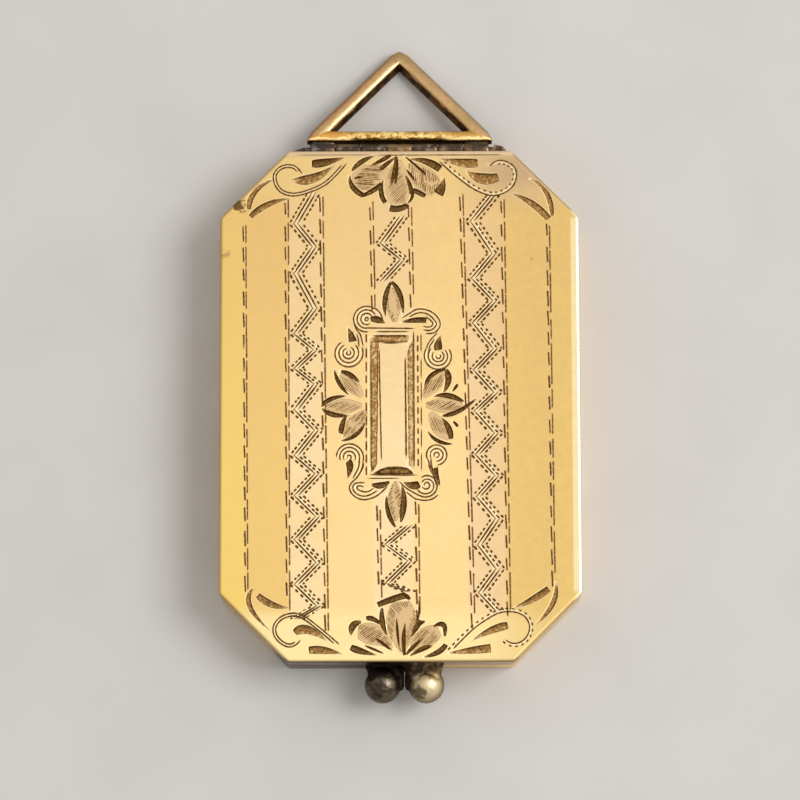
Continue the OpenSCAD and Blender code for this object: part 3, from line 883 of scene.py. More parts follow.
# Tails and loops of the volutes, as places on smooth curves.
SCROLLS = [
    [(0.18, 5.38), (0.62, 5.66), (1.00, 5.88), (1.44, 5.90), (1.92, 5.74), (2.28, 5.44), (2.48, 5.00),
     (2.36, 4.64), (2.04, 4.40), (1.64, 4.38)],
    [(0.62, 5.44), (0.96, 5.62), (1.36, 5.68), (1.76, 5.56), (2.06, 5.28), (2.24, 5.00), (2.12, 4.74),
     (1.82, 4.56), (1.48, 4.60)],
    [(1.64, 5.40), (1.84, 5.24), (2.02, 5.02), (1.92, 4.82), (1.66, 4.78), (1.48, 4.82)],
    [(-2.24, -3.78), (-2.40, -4.16), (-2.68, -4.58), (-2.96, -4.84), (-3.12, -5.16), (-3.00, -5.52),
     (-2.64, -5.82), (-2.20, -5.92), (-1.68, -5.80), (-1.28, -5.56), (-0.86, -5.16)],
    [(-2.26, -4.88), (-2.58, -4.88), (-2.84, -4.96), (-2.92, -5.20), (-2.78, -5.48), (-2.48, -5.66),
     (-2.16, -5.70), (-1.82, -5.60), (-1.48, -5.40)],
    [(-2.32, -5.12), (-2.50, -5.06), (-2.68, -5.16), (-2.58, -5.30), (-2.36, -5.40), (-2.16, -5.44),
     (-1.92, -5.40), (-1.68, -5.24)],
    [(1.12, -5.68), (0.58, -5.36), (0.26, -5.14), (-0.02, -4.86)],
    [(2.24, -5.68), (1.96, -5.88), (1.52, -5.98), (1.08, -5.92), (0.84, -5.84), (0.42, -5.50)],
    [(1.72, -3.80), (1.88, -4.18), (2.06, -4.48), (2.24, -4.72)],
    [(2.28, -3.92), (2.24, -4.20), (2.32, -4.50), (2.40, -4.98)],
    [(-2.82, 5.10), (-2.72, 4.72), (-2.44, 4.30), (-2.28, 3.66)],
    [(-2.64, 4.30), (-2.56, 3.96), (-2.54, 3.62)],
    [(-2.72, -4.60), (-2.42, -4.16), (-2.28, -3.64)],
    [(-2.88, -4.54), (-2.60, -4.00), (-2.50, -3.56)],
    [(2.24, 4.36), (1.80, 3.86), (1.60, 3.40)],
    [(2.06, 3.94), (1.82, 3.56), (1.76, 3.28)],
    [(2.34, -4.98), (2.18, -4.36), (1.88, -3.94), (1.66, -3.40)],
    [(2.18, -4.98), (1.96, -4.12), (1.86, -3.45)],
]
for points in SCROLLS:
    first = lengthened(points[1], points[0], ARC_MORE)[1]
    last = lengthened(points[-2], points[-1], ARC_MORE)[1]
    smooth = curve([first] + points[1:-1] + [last], CURVE_STEP)
    even_bed(beside(smooth, SCROLL_BED_GAP)[1:-1], SCROLL_BED_W)
    scored(smooth, SCROLL_W, SCROLL_DEPTH)

# The long curls of the four corners, each with a second line beside it.
# Columns: distance to the second line, whether the first and the second are dashed, places.
CURLS = [
    (-0.17, False, False, [
        (-3.26, 15.10), (-3.92, 14.34), (-4.60, 13.72), (-5.52, 13.28), (-6.48, 13.04), (-7.24, 13.20),
        (-7.68, 13.66), (-7.82, 14.28), (-7.60, 14.72), (-7.16, 14.98), (-6.56, 14.96), (-6.18, 14.64),
        (-6.02, 14.38)]),
    (0.19, False, True, [
        (2.42, 15.24), (3.18, 14.52), (4.04, 13.82), (4.80, 13.32), (5.72, 13.02), (6.48, 13.20),
        (7.00, 13.62), (7.24, 14.24), (7.12, 14.80), (6.64, 15.16), (6.12, 15.24), (5.68, 15.00),
        (5.60, 14.84)]),
    (0.17, False, False, [
        (-3.72, -14.82), (-4.52, -14.12), (-5.20, -13.56), (-5.80, -13.12), (-6.44, -12.88),
        (-7.12, -13.00), (-7.56, -13.32), (-7.78, -13.76), (-7.70, -14.28), (-7.32, -14.72),
        (-6.82, -14.94), (-6.38, -14.80), (-6.08, -14.48)]),
    (-0.19, True, False, [
        (2.84, -15.16), (3.56, -14.42), (4.32, -13.70), (5.08, -13.16), (5.92, -12.72), (6.84, -12.64),
        (7.60, -12.92), (7.96, -13.44), (8.00, -13.98), (7.76, -14.52), (7.28, -14.88), (6.76, -14.94),
        (6.28, -14.72), (6.08, -14.40)]),
]


def line_of(points, dashed):
    if dashed:
        for i in range(0, len(points) - 3, 3):
            dash(points[i], points[i + 2], SCROLL_W * 1.15, SCROLL_DEPTH)
    else:
        scored(points, SCROLL_W, SCROLL_DEPTH)


for gap, first_dashed, second_dashed, places in CURLS:
    smooth = curve(places, CURL_STEP)
    even_bed(beside(smooth, gap / 2)[3:-3], abs(gap))
    line_of(smooth, first_dashed)
    line_of(beside(smooth, gap)[2:-2], second_dashed)

# The sunk frame round the panel: four troughs with mitred ends. Columns: x and y where the outer edge starts
# and ends, with the panel on its left, width at both ends, length of the mitre at both ends, depth.
TROUGHS = [
    (-1.80, -4.38, 0.99, -4.38, 0.45, 0.45, 0.72, 0.66, 0.050),
    (0.84, -4.02, 0.82, 4.10, 0.38, 0.42, 0.15, 0.80, 0.023),
    (0.66, 4.27, -1.82, 4.27, 0.47, 0.47, 0.12, 0.32, 0.034),
    (-1.87, 4.22, -1.86, -4.32, 0.58, 0.44, 0.25, 0.50, 0.032),
]
TROUGH_FLOOR = Floor(0.06, 0.13, 1.7)
TROUGH_STEP = 0.3
for x0, y0, x1, y1, w0, w1, mitre0, mitre1, sunk in TROUGHS:
    length = math.dist((x0, y0), (x1, y1))
    along = unit(np.array([x1 - x0, y1 - y0]))
    inwards = left_of(along)
    centres, widths, depths = [], [], []
    count = round(length / TROUGH_STEP)
    for i in range(count + 1):
        s = length * i / count
        full = (w0 + (w1 - w0) * i / count) * rng.uniform(0.94, 1.05)
        width = full * min(1.0, s / mitre0, (length - s) / mitre1)
        centres.append(np.array([x0, y0]) + along * s + inwards * width / 2)
        widths.append(width)
        depths.append(sunk * rng.uniform(0.85, 1.15) if width else 0)
    even_bed([c - inwards * (w / 2 + RIM_W) for c, w in zip(centres, widths)], 2 * RIM_W)
    cuts.cut(centres, widths, depths, profile=TROUGH_FLOOR)

# Lines round the frame. Columns: x and y of both ends, width, length and period of its dashes.
FRAME_LINES = [
    (-2.40, 4.74, 0.97, 4.69, 0.12, 0, 0),
    (-1.62, 4.50, 0.63, 4.50, 0.10, 0, 0),
    (-1.78, 4.25, 0.60, 4.25, 0.12, 0, 0),
    (-1.22, 3.79, 0.05, 3.79, 0.12, 0, 0),
    (-1.30, 3.60, -1.16, -3.60, 0.10, 0, 0),
    (-2.08, 4.40, -2.09, -4.46, 0.125, 0.72, 0.80),
    (0.31, 3.00, 0.35, -3.45, 0.14, 0, 0),
    (0.83, 4.62, 0.84, -4.10, 0.12, 0, 0),
    (1.08, 4.30, 1.09, -4.20, 0.12, 0.48, 0.64),
    (1.29, 4.46, 1.29, -4.21, 0.09, 1.40, 1.46),
    (-1.02, -3.93, 0.28, -3.93, 0.15, 0, 0),
    (-1.95, -4.38, 1.12, -4.42, 0.12, 0, 0),
    (-2.15, -4.61, 0.05, -4.61, 0.09, 0, 0),
]
for x0, y0, x1, y1, width, length, period in FRAME_LINES:
    if period:
        dashes((x0, y0), (x1, y1), length, period, width, SCROLL_DEPTH)
    else:
        scored(straight((x0, y0), (x1, y1), SCORE_STEP), width, SCROLL_DEPTH)

# The fine line along the top of the face. Columns: x at both ends, y, width.
for x0, x1, y, width in ((-6.5, -1.6, 15.62, 0.05), (-1.5, 6.5, 15.60, 0.07)):
    scored(straight((x0, y), (x1, y), 0.4), width, SCROLL_DEPTH)


# The two halves of the case

def half_rings(up, outside, middle, seed):
    """The rings of one half: from its floor to the seam inside, round the lip, along the outer wall and round
    its edge. up is 1 for the front half and -1 for the back one, outside is the height of its outer face, and
    middle is where its wall is dented most."""
    seam_z = MID_Z + up * SEAM / 2
    inner = ((WALL, outside - up * WALL), (WALL, seam_z), (LIP, seam_z))
    rings = [at_height(case_outline(d), z) for d, z in inner]
    for z, depth in ((seam_z + up * LIP, 0.04), (middle, 0.05), (outside - up * EDGE_R, 0.03)):
        rings.append(dented(at_height(case_outline(0), z), depth, seed))
    for s in range(1, EDGE_STEPS + 1):
        a = math.pi / 2 * s / EDGE_STEPS
        z = outside - up * EDGE_R * (1 - math.sin(a))
        rings.append(at_height(case_outline(EDGE_R * (1 - math.cos(a))), z))
    return rings


def front_shell(material):
    """The front half. Its cut face is triangulated between its rim and every chain of the cuts."""
    shape = Shape()
    rings = half_rings(1, FACE_Z, (MID_Z + SEAM / 2 + FACE_Z - EDGE_R) / 2, 1)
    shape.loft(rings)
    n = len(rings[0])
    shape.add(rings[0], [list(range(n))], flat=True)
    points = [Vector((x, y)) for x, y, _ in rings[-1]] + [Vector(p) for p in cuts.points]
    edges = [(i, (i + 1) % n) for i in range(n)] + [(a + n, b + n) for a, b in cuts.edges]
    found, _, triangles, origin, _, _ = delaunay_2d_cdt(points, edges, [], 0, MERGE_WITHIN)
    rim_start = (len(rings) - 1) * n
    index = {i: rim_start + s for i, sources in enumerate(origin) for s in sources if s < n}
    first, places = len(shape.points), []
    for i, p in enumerate(found):
        if i not in index:
            index[i] = first + len(places)
            places.append((p.x, p.y, FACE_Z - cuts.depth(p)))
    shape.add(places, [])
    for t in triangles:
        shape.faces.append([index[i] for i in t])
        shape.flat.append(True)
    shape.build("front_shell", "lid", "engraved_gold", material, "front_cover")


def back_shell(material):
    shape = Shape()
    shape.capped(half_rings(-1, 0, MID_Z / 2, 5))
    shape.build("back_shell", "back", "plain_gold", material, "back_cover")


# The hinge

def knuckle(shape, k, seed):
    """Knuckle k, counted from the left, with a lumpy skin that never stands proud. Returns both ends in x."""
    x0 = k * KNUCKLE_PITCH - (BARREL_LEN - KNUCKLE_GAP) / 2
    x1 = x0 + KNUCKLE_PITCH - KNUCKLE_GAP
    chamfer, steps = 0.04, 7
    profile = [(x0, BORE_R), (x0, KNUCKLE_R - chamfer), (x0 + chamfer, KNUCKLE_R)]
    profile += [(x0 + (x1 - x0) * s / steps, KNUCKLE_R) for s in range(1, steps)]
    profile += [(x1 - chamfer, KNUCKLE_R), (x1, KNUCKLE_R - chamfer), (x1, BORE_R)]
    rings = []
    for x, r in profile:
        ring = []
        for a in turns(KNUCKLE_AROUND):
            d = Vector((x * 2.2, math.cos(a) * 1.6, math.sin(a) * 1.6 + seed))
            lumpy_r = r if r <= BORE_R else r - KNUCKLE_LUMP * soft(d * 1.7)
            ring.append((x, HINGE.y + lumpy_r * math.cos(a), HINGE.z + lumpy_r * math.sin(a)))
        rings.append(ring)
    shape.loft(rings, close=True)
    return x0, x1


def lumpy_box(shape, low, high, cells, seed, turn=None):
    """A box of soft solder: its skin is drawn inwards by noise and its corners are worn."""
    low, high = Vector(low), Vector(high)
    size, centre = high - low, (low + high) / 2
    power = 5
    index, points, faces = {}, [], []

    def place(*key):
        if key not in index:
            f = Vector([c / count for c, count in zip(key, cells)]) * 2 - Vector((1, 1, 1))
            norm = sum(abs(c) ** power for c in f) ** (1 / power)
            f = f / max(norm, 1e-6) * max(abs(c) for c in f)
            p = centre + Vector((f.x * size.x, f.y * size.y, f.z * size.z)) / 2
            away = (centre - p).normalized()
            p = p + away * BOX_LUMP * soft(p * 2.4 + Vector((seed, 0, 0)))
            index[key] = len(points)
            points.append(turn @ p if turn else p)
        return index[key]

    for axis in range(3):
        u, v = (axis + 1) % 3, (axis + 2) % 3
        for side in (0, cells[axis]):
            for i in range(cells[u]):
                for j in range(cells[v]):
                    quad = []
                    for di, dj in ((0, 0), (1, 0), (1, 1), (0, 1)):
                        key = [0, 0, 0]
                        key[axis], key[u], key[v] = side, i + di, j + dj
                        quad.append(place(*key))
                    faces.append(quad if side else quad[::-1])
    shape.add(points, faces)


def wedge(shape, side, seed):
    """An end lug of the hinge: it slopes from the hinge down to the edge of the case."""
    sunk, worn, steps = 0.1, 0.03, 5
    inner, knee, outer = [(x, HALF_H + y) for x, y in zip(LUG_X, LUG_REACH[side])]
    plan = np.array([(inner[0], HALF_H - sunk), (outer[0], HALF_H - sunk), outer, knee, inner])
    bottom, top = LUG_Z
    levels = [(bottom, worn), (bottom + worn, 0.01)]
    levels += [(bottom + (top - bottom) * k / steps, 0.01) for k in range(1, steps)]
    levels += [(top - worn, 0.01), (top, worn)]
    rings = []
    for z, d in levels:
        ring = []
        for x, y in rounded(inset(plan, d), 0.03, 2, (4, 3, 4, 5, 6)):
            lump = LUG_LUMP * soft(Vector((x * 3, y * 3, z * 3 + seed)))
            ring.append((side * (x - lump), y - lump, z))
        rings.append(ring if side > 0 else ring[::-1])
    shape.capped(rings)


def hinge_part(name, body, material, which, seed):
    """Knuckles and the webs that carry them, above the axis on the lid and below it on the back half, which
    has the end lugs too."""
    shape = Shape()
    up = 1 if body == "lid" else -1
    z0, z1 = sorted((HINGE.z + up * WEB_GAP, HINGE.z + up * WEB_TOP))
    for k in which:
        x0, x1 = knuckle(shape, k, seed + k)
        lumpy_box(shape, (x0, HALF_H - 0.1, z0), (x1, HINGE.y - BORE_R, z1), (8, 3, 2), seed + k)
    if body == "back":
        for side in (-1, 1):
            wedge(shape, side, seed + side)
    node = "back_cover" if body == "back" else "front_cover"
    shape.build(name, body, "hinge_metal", material, node, sharp=50)


# The bail

BAIL_TURN = Matrix.Translation(HINGE) @ Matrix.Rotation(-BAIL_DROOP, 4, "X")
BAIL_SPANS = (16, 16, 22)
# The section of the bail, from underneath, up its outer edge, over a ridge nearer to that edge, and down
# inside the eye. Columns: share of the way across, height over half the thickness.
BAIL_SECTION = [
    (0.12, -1.00), (0.02, -0.92), (0.00, -0.75), (0.00, 0.45), (0.02, 0.60), (0.08, 0.70), (0.22, 0.84),
    (0.36, 0.95), (0.48, 0.99), (0.60, 1.00), (0.71, 0.97), (0.78, 0.87), (0.83, 0.64), (0.89, 0.22),
    (0.95, -0.20), (0.99, -0.60), (1.00, -0.80), (0.96, -0.96), (0.80, -1.00), (0.50, -1.00),
]


def bail_loop(f):
    """The triangle at the share f of the way from the bail's outer outline to its eye. Its legs swell
    outwards, and furthest at the outer outline."""
    base = BAIL_BAR_Y + f * BAIL_BAR_W
    tip = BAIL_REACH - f * BAIL_LEG_W / math.cos(BAIL_SLOPE)
    half = (tip - base) / math.tan(BAIL_SLOPE)
    loop = []
    for x, y in rounded(np.array([(half, base), (0, tip), (-half, base)]), BAIL_CORNER_R, 5, BAIL_SPANS):
        from_end = max(0.0, min(y - base, tip - y)) / math.sin(BAIL_SLOPE)
        k = BAIL_SWELL * (1 - f) * min(1.0, from_end / BAIL_SWELL_END)
        loop.append((x + math.copysign(k * math.sin(BAIL_SLOPE), x), y + k * math.cos(BAIL_SLOPE)))
    return loop


def bail(material):
    shape = Shape()
    rings = []
    for f, height in BAIL_SECTION:
        ring = []
        for x, y in bail_loop(f):
            z = height * BAIL_T / 2
            sink = BAIL_DENT * soft(Vector((x, y, z)) * 1.3 + Vector((3, 0, 0)))
            if y < BAIL_BAR_Y + BAIL_BAR_W and abs(x) < BAR_PITTED:
                sink += BAR_PIT_DEPTH * soft(Vector((x, y, z)) * 5.0)
            z -= sink * (1 if z > 0 else -1)
            ring.append(BAIL_TURN @ Vector((x, y, z)))
        rings.append(ring)
    shape.loft(rings, close=True)
    shape.build("bail_frame", "bail", "bail_gold", material, "bail", sharp=40)


def bail_ears(material):
    shape = Shape()
    for k in (0, 6):
        x0, x1 = knuckle(shape, k, 40 + k)
        low = (x0, BORE_R + 0.03, -EAR_T / 2)
        high = (x1, BAIL_BAR_Y + 0.15, EAR_T / 2 - 0.2)
        lumpy_box(shape, low, high, (8, 4, 4), 60 + k, BAIL_TURN)
    shape.build("bail_ears", "bail", "hinge_metal", material, "bail", sharp=50)


# The clasp

def ball(shape, x, seed):
    """The ball of a bead, with shallow dents."""
    rings = []
    for i in range(BALL_ROWS + 1):
        polar = math.pi * i / BALL_ROWS
        ring = []
        for a in turns(BEAD_AROUND):
            d = Vector((math.sin(polar) * math.cos(a), math.sin(polar) * math.sin(a), math.cos(polar)))
            pock = max(0.0, noise.noise(d * 7 + Vector((0, seed, 0))) - 0.25)
            r = BEAD_R * (1 - BALL_DENT * soft(d * 1.6 + Vector((seed, 0, 0))) - BALL_POCK * pock)
            ring.append((x + r * d.x, BEAD_Y + r * d.y, MID_Z + r * d.z))
        rings.append(ring)
    shape.loft(rings)


def neck(shape, x, lug_z, seed):
    """The solder between the wall and a ball. It starts at the height lug_z."""
    rings = []
    for out, half_w, half_t, share, flare in NECK:
        middle = lug_z + (MID_Z - lug_z) * share
        ring = []
        for a in turns(BEAD_AROUND):
            c, s = math.cos(a), math.sin(a)
            square = (abs(c) ** 3 + abs(s) ** 3) ** (-1 / 3)
            lump = 1 - NECK_LUMP * soft(Vector((c * 1.7, out * 4, s * 1.7 + seed)))
            wide = half_w + (flare if c * x < 0 else 0) * min(1, 3 * abs(c))
            ring.append((x + wide * c * square * lump, -HALF_H - out, middle + half_t * s * square * lump))
        rings.append(ring[::-1])
    shape.capped(rings)


def crust(shape, x, seed):
    rings = []
    for out, reach, half_t in CRUST:
        ring = []
        for a in turns(BEAD_AROUND):
            c, s = math.cos(a), math.sin(a)
            lump = 1 - CRUST_LUMP * soft(Vector((c * 2, out * 4 + seed, s * 3)))
            across = reach * (0.5 + 0.5 * c)
            ring.append((x - math.copysign(across, x), -HALF_H - out, MID_Z + half_t * s * lump))
        rings.append(ring[::-1] if x < 0 else ring)
    shape.capped(rings)


def bead(name, body, slot, material, node, x, seed):
    """A clasp bead. Its neck starts above the seam on the lid, and below it on the back half."""
    shape = Shape()
    lift = SEAM + BEAD_LUG_T / 2
    ball(shape, x, seed)
    neck(shape, x, MID_Z + (lift if body == "lid" else -lift), seed)
    crust(shape, x, seed)
    shape.build(name, body, slot, material, node, sharp=60)


# Materials

# Nearly all noise lies in this range.
NOISE_RANGE = (0.3, 0.7)


class Number:
    """A number that a material works out at each point. Arithmetic with it makes the nodes."""

    def __init__(self, graph, socket):
        self.graph = graph
        self.socket = socket

    def __add__(self, other):
        return self.graph.math("ADD", self, other)

    def __sub__(self, other):
        return self.graph.math("SUBTRACT", self, other)

    def __rsub__(self, other):
        return self.graph.math("SUBTRACT", other, self)

    def __mul__(self, other):
        return self.graph.math("MULTIPLY", self, other)

    def __truediv__(self, other):
        return self.graph.math("DIVIDE", self, other)

    def __abs__(self):
        return self.graph.math("ABSOLUTE", self)

    def clamped(self):
        """The same number, held between 0 and 1."""
        self.socket.node.use_clamp = True
        return self


class Nodes:
    """The nodes of a material or of the world."""

    def __init__(self, tree):
        self.tree = tree

    def feed(self, inputs):
        """Sets each of the input sockets to its value, or links it to another node's output."""
        for socket, value in inputs:
            if isinstance(value, Number):
                value = value.socket
            if isinstance(value, bpy.types.NodeSocket):
                self.tree.links.new(value, socket)
            else:
                socket.default_value = value

    def new(self, kind, *values, named=None, **settings):
        """A node with these settings. values are for its first inputs, named for inputs by their name."""
        made = self.tree.nodes.new(kind)
        for key, value in settings.items():
            setattr(made, key, value)
        self.feed(zip(made.inputs, values))
        self.feed((made.inputs[name], value) for name, value in (named or {}).items())
        return made

    def span(self, value, a, b, c=0.0, d=1.0):
        """Carries value smoothly from the range a to b into c to d, held at the ends."""
        ends = {"From Min": a, "From Max": b, "To Min": c, "To Max": d}
        n = self.new("ShaderNodeMapRange", value, named=ends, interpolation_type="SMOOTHSTEP")
        return Number(self, n.outputs[0])

    def math(self, operation, a, b=0.0):
        return Number(self, self.new("ShaderNodeMath", a, b, operation=operation).outputs[0])


class Graph(Nodes):
    """A material's nodes. Lengths in it are millimetres of the object's own space."""

    def __init__(self, name):
        self.material = bpy.data.materials.new(name)
        self.material.use_nodes = True
        super().__init__(self.material.node_tree)
        self.shader = self.tree.nodes["Principled BSDF"]
        place = self.new("ShaderNodeTexCoord").outputs["Object"]
        scale = self.new("ShaderNodeVectorMath", place, named={"Scale": 1 / MM}, operation="SCALE")
        self.place = scale.outputs[0]
        split = self.new("ShaderNodeSeparateXYZ", self.place)
        self.x, self.y, self.z = [Number(self, socket) for socket in split.outputs]

    def noise(self, scale, detail=4.0, rough=0.5, stretch=None):
        """Noise from 0 to 1. scale is in waves to a millimetre."""
        source = self.place
        if stretch:
            source = self.new("ShaderNodeVectorMath", source, stretch, operation="MULTIPLY").outputs[0]
        named = {"Vector": source, "Scale": scale, "Detail": detail, "Roughness": rough}
        return Number(self, self.new("ShaderNodeTexNoise", named=named).outputs["Fac"])

    def waves(self, low, high, *settings, **more):
        """Noise with these settings, from low to high."""
        return self.span(self.noise(*settings, **more), *NOISE_RANGE, low, high)

    def distance(self, x, y):
        """How far the point is from x, y, seen from the front."""
        dx, dy = self.x - x, self.y - y
        return self.math("SQRT", dx * dx + dy * dy)

    def mix(self, share, a, b):
        n = self.new("ShaderNodeMix", named={"Factor": share, "A": a, "B": b}, data_type="RGBA")
        return next(out for out in n.outputs if out.type == "RGBA")

    def bump(self, height, strength, distance):
        named = {"Height": height, "Strength": strength, "Distance": distance * MM}
        self.feed([(self.shader.inputs["Normal"], self.new("ShaderNodeBump", named=named).outputs[0])])

    def finish(self, colour, roughness, metallic):
        named = {"Base Color": colour, "Roughness": roughness, "Metallic": metallic}
        self.feed((self.shader.inputs[name], value) for name, value in named.items())
        return self.material


def colour(r, g, b):
    """A colour as seen on a screen, from 0 to 255, made linear for the shader."""
    def lin(v):
        v /= 255
        return v / 12.92 if v <= 0.04045 else ((v + 0.055) / 1.055) ** 2.4
    return (lin(r), lin(g), lin(b), 1.0)


# The face.
PANEL_GOLD = colour(252, 219, 153)
BAND_GOLD = colour(240, 201, 123)
STRIP_GOLD = colour(245, 210, 117)
COLUMN_GOLD = colour(250, 222, 170)
COLUMN_ROSE = colour(243, 210, 165)
CLOUD_GOLD = colour(244, 204, 132)
TOP_BAND_SHADE = colour(236, 202, 134)
TOP_RIGHT_GOLD = colour(200, 168, 126)
BOTTOM_REFLECTION = colour(255, 231, 166)
TOP_SHADE = colour(228, 186, 122)
RIGHT_SHADE = colour(220, 184, 114)
RIGHT_EDGE_HIGHLIGHT = colour(242, 219, 168)
TOP_EDGE_REFLECTION = colour(218, 190, 146)
# Its cuts, from the shallowest to the deepest. The cream of the shallowest beds is a painted highlight.
CREAM_HIGHLIGHT = colour(255, 238, 192)
PATINA = colour(214, 186, 140)
EARTH = colour(164, 124, 68)
FLOOR_BROWN = colour(116, 88, 50)
GRIME = colour(84, 54, 4)
# The edge and the walls of the case.
EDGE_COPPER = colour(158, 108, 68)
EDGE_HIGHLIGHT = colour(255, 244, 206)
EDGE_SHADE = colour(96, 68, 36)
HINGE_EDGE_REFLECTION = colour(214, 186, 148)
COPPER = colour(176, 128, 88)
WALL_SHADE_GREY = colour(78, 62, 53)
WALL_WORN = colour(110, 96, 84)
# The solder of the hinge.
SOLDER = colour(72, 60, 45)
SOLDER_LIGHT = colour(132, 116, 96)
SOLDER_WARM = colour(86, 66, 42)
SOLDER_TAN = colour(150, 122, 84)
SOLDER_BLUE = colour(58, 58, 62)
SOLDER_BLUE_LIGHT = colour(116, 114, 118)
SOLDER_BROWN = colour(66, 48, 30)
SOLDER_BROWN_LIGHT = colour(140, 108, 78)
SOLDER_GLINT = colour(168, 160, 150)
# The bail: its left leg, its right leg, its tip, its bar and the slope inside its eye.
LEG_TAN = colour(224, 178, 122)
LEG_HIGHLIGHT = colour(250, 216, 156)
LEG_OUTER_SHADE = colour(180, 142, 104)
RIGHT_TAN = colour(206, 170, 118)
RIGHT_ROSE = colour(220, 178, 126)
RIGHT_DULL = colour(186, 158, 122)
TIP_TAN = colour(192, 162, 114)
BAR_ORANGE = colour(216, 160, 82)
BAR_OCHRE = colour(200, 158, 82)
BAR_GOLD = colour(228, 182, 104)
BAR_BRIGHT = colour(255, 228, 150)
BAR_PIT = colour(150, 102, 44)
BAR_HIGHLIGHT = colour(255, 232, 166)
BAR_SHADE = colour(84, 60, 22)
BAR_INNER_SHADE = colour(170, 120, 86)
BAR_UNDER_SHADE = colour(52, 38, 20)
BRASS_DARK = colour(110, 76, 40)
EYE_SHADE_DARK = colour(62, 42, 16)
EYE_SHADE_BROWN = colour(112, 80, 40)
# The beads and the paper.
FLANK_SHADE_DARK = colour(46, 34, 24)
PAPER = colour(191, 188, 184)
PAPER_LIGHT = colour(195, 192, 189)

# Marks of wear on the face: a dark knot near the upper left corner, a brassed patch under it and a dot on the
# right. Columns: x, y, radius, colour, amount.
WEAR = [
    (-10.00, 12.38, 0.46, colour(98, 72, 42), 0.92),
    (-10.81, 9.32, 0.35, colour(176, 128, 84), 0.6),
    (8.14, 9.03, 0.14, colour(200, 164, 104), 0.7),
]

# Where the colour of the face changes across it, in x: first the edge of a band, then its colour.
BANDS = [
    (-9.45, BAND_GOLD), (-6.85, COLUMN_GOLD), (-4.70, PANEL_GOLD), (-1.65, COLUMN_GOLD), (0.80, PANEL_GOLD),
    (4.10, COLUMN_ROSE), (6.45, BAND_GOLD), (9.30, STRIP_GOLD),
]
BAND_BLUR = 0.12


def face_tints(g, cloud):
    """The uncut face: its bands, painted shade towards the top and the right and painted light towards the
    bottom, painted highlights by its right and top edges, and its marks of wear.
    """
    base = STRIP_GOLD
    for edge, tint in BANDS:
        base = g.mix(g.span(g.x, edge - BAND_BLUR, edge + BAND_BLUR), base, tint)
    # Painted light: the face is lighter towards the bottom.
    base = g.mix(g.span(g.y, -12.2, -13.6), base, BOTTOM_REFLECTION)
    base = g.mix(g.span(cloud, 0.35, 0.7, 0, 0.25), base, CLOUD_GOLD)
    # Painted shade darkens the face towards the top and towards the right.
    base = g.mix(g.span(g.y, -6, 15, 0, 0.55), base, TOP_SHADE)
    base = g.mix(g.span(g.x, 3, 9.5, 0, 0.8), base, RIGHT_SHADE)
    # A painted highlight along the right edge of the face.
    base = g.mix(g.span(g.x, 10.48, 10.62) * g.span(abs(g.y), 11.8, 11.4), base, RIGHT_EDGE_HIGHLIGHT)
    # Painted shade: a darker band at the top.
    base = g.mix(g.span(g.y, 12.2, 13.6), base, TOP_BAND_SHADE)
    base = g.mix(g.span(g.y, 11.5, 14.5) * g.span(g.x, 2.5, 7), base, TOP_RIGHT_GOLD)
    # A painted pale reflection along the top edge of the face.
    base = g.mix(g.span(g.y, 15.35, 15.62, 0, 0.8), base, TOP_EDGE_REFLECTION)
    for x, y, radius, tint, amount in WEAR:
        away = g.distance(x, y) + g.waves(-radius / 2, radius / 2, 3.5, 4)
        base = g.mix(g.span(away, radius, radius * 0.45, 0, amount), base, tint)
    return base


def left_wall_shade(g, base):
    """Painted shade: grey on the walls beside the left bead."""
    dark_tint = g.span(g.x, 1.5, -1.5) * g.span(g.y, -14.5, -15.5)
    return g.mix(dark_tint * 0.92, base, WALL_SHADE_GREY)


def edge_tints(g, base):
    """The rounded edge is copper, most of all on its left, where the extra copper is painted shade; a painted
    highlight lies on its right, and the wall under it is mottled, with painted shade beside the left bead and
    along the bottom.
    """
    # The edge is tinted copper, and more on its left as painted shade.
    copper_and_shaded_edge = g.span(g.z, FACE_Z - 0.03, FACE_Z - 0.14) * g.span(g.x, 2, -6, 0.25, 0.9)
    base = g.mix(copper_and_shaded_edge, base, EDGE_COPPER)
    # A painted highlight on the edge at the right.
    edge_highlight = g.span(g.z, FACE_Z - 0.004, FACE_Z - 0.02) * g.span(g.x, 10.5, 10.7)
    base = g.mix(edge_highlight, base, EDGE_HIGHLIGHT)
    side = g.span(g.z, FACE_Z - 0.2, FACE_Z - 0.45)
    wall = left_wall_shade(g, g.mix(g.span(g.noise(1.3, 5), 0.35, 0.65, 0.35, 0.7), COPPER, BAND_GOLD))
    # Painted shade greys the wall along the bottom.
    wall = g.mix(g.span(g.y, -15.4, -15.7, 0, 0.3), wall, WALL_SHADE_GREY)
    base = g.mix(side, base, wall)
    # A painted shade line lies under the edge of the face at the clasp.
    under = g.span(g.z, FACE_Z - 0.02, FACE_Z - 0.1) * g.span(g.z, FACE_Z - 0.5, FACE_Z - 0.36)
    under = under * g.span(g.y, -15.5, -15.7) * g.span(g.x, 3, -1, 0.7, 1)
    base = g.mix(under, base, EDGE_SHADE)
    worn = side * g.span(g.noise(2, 5), 0.58, 0.76, 0, 0.6)
    return g.mix(worn, base, WALL_WORN)


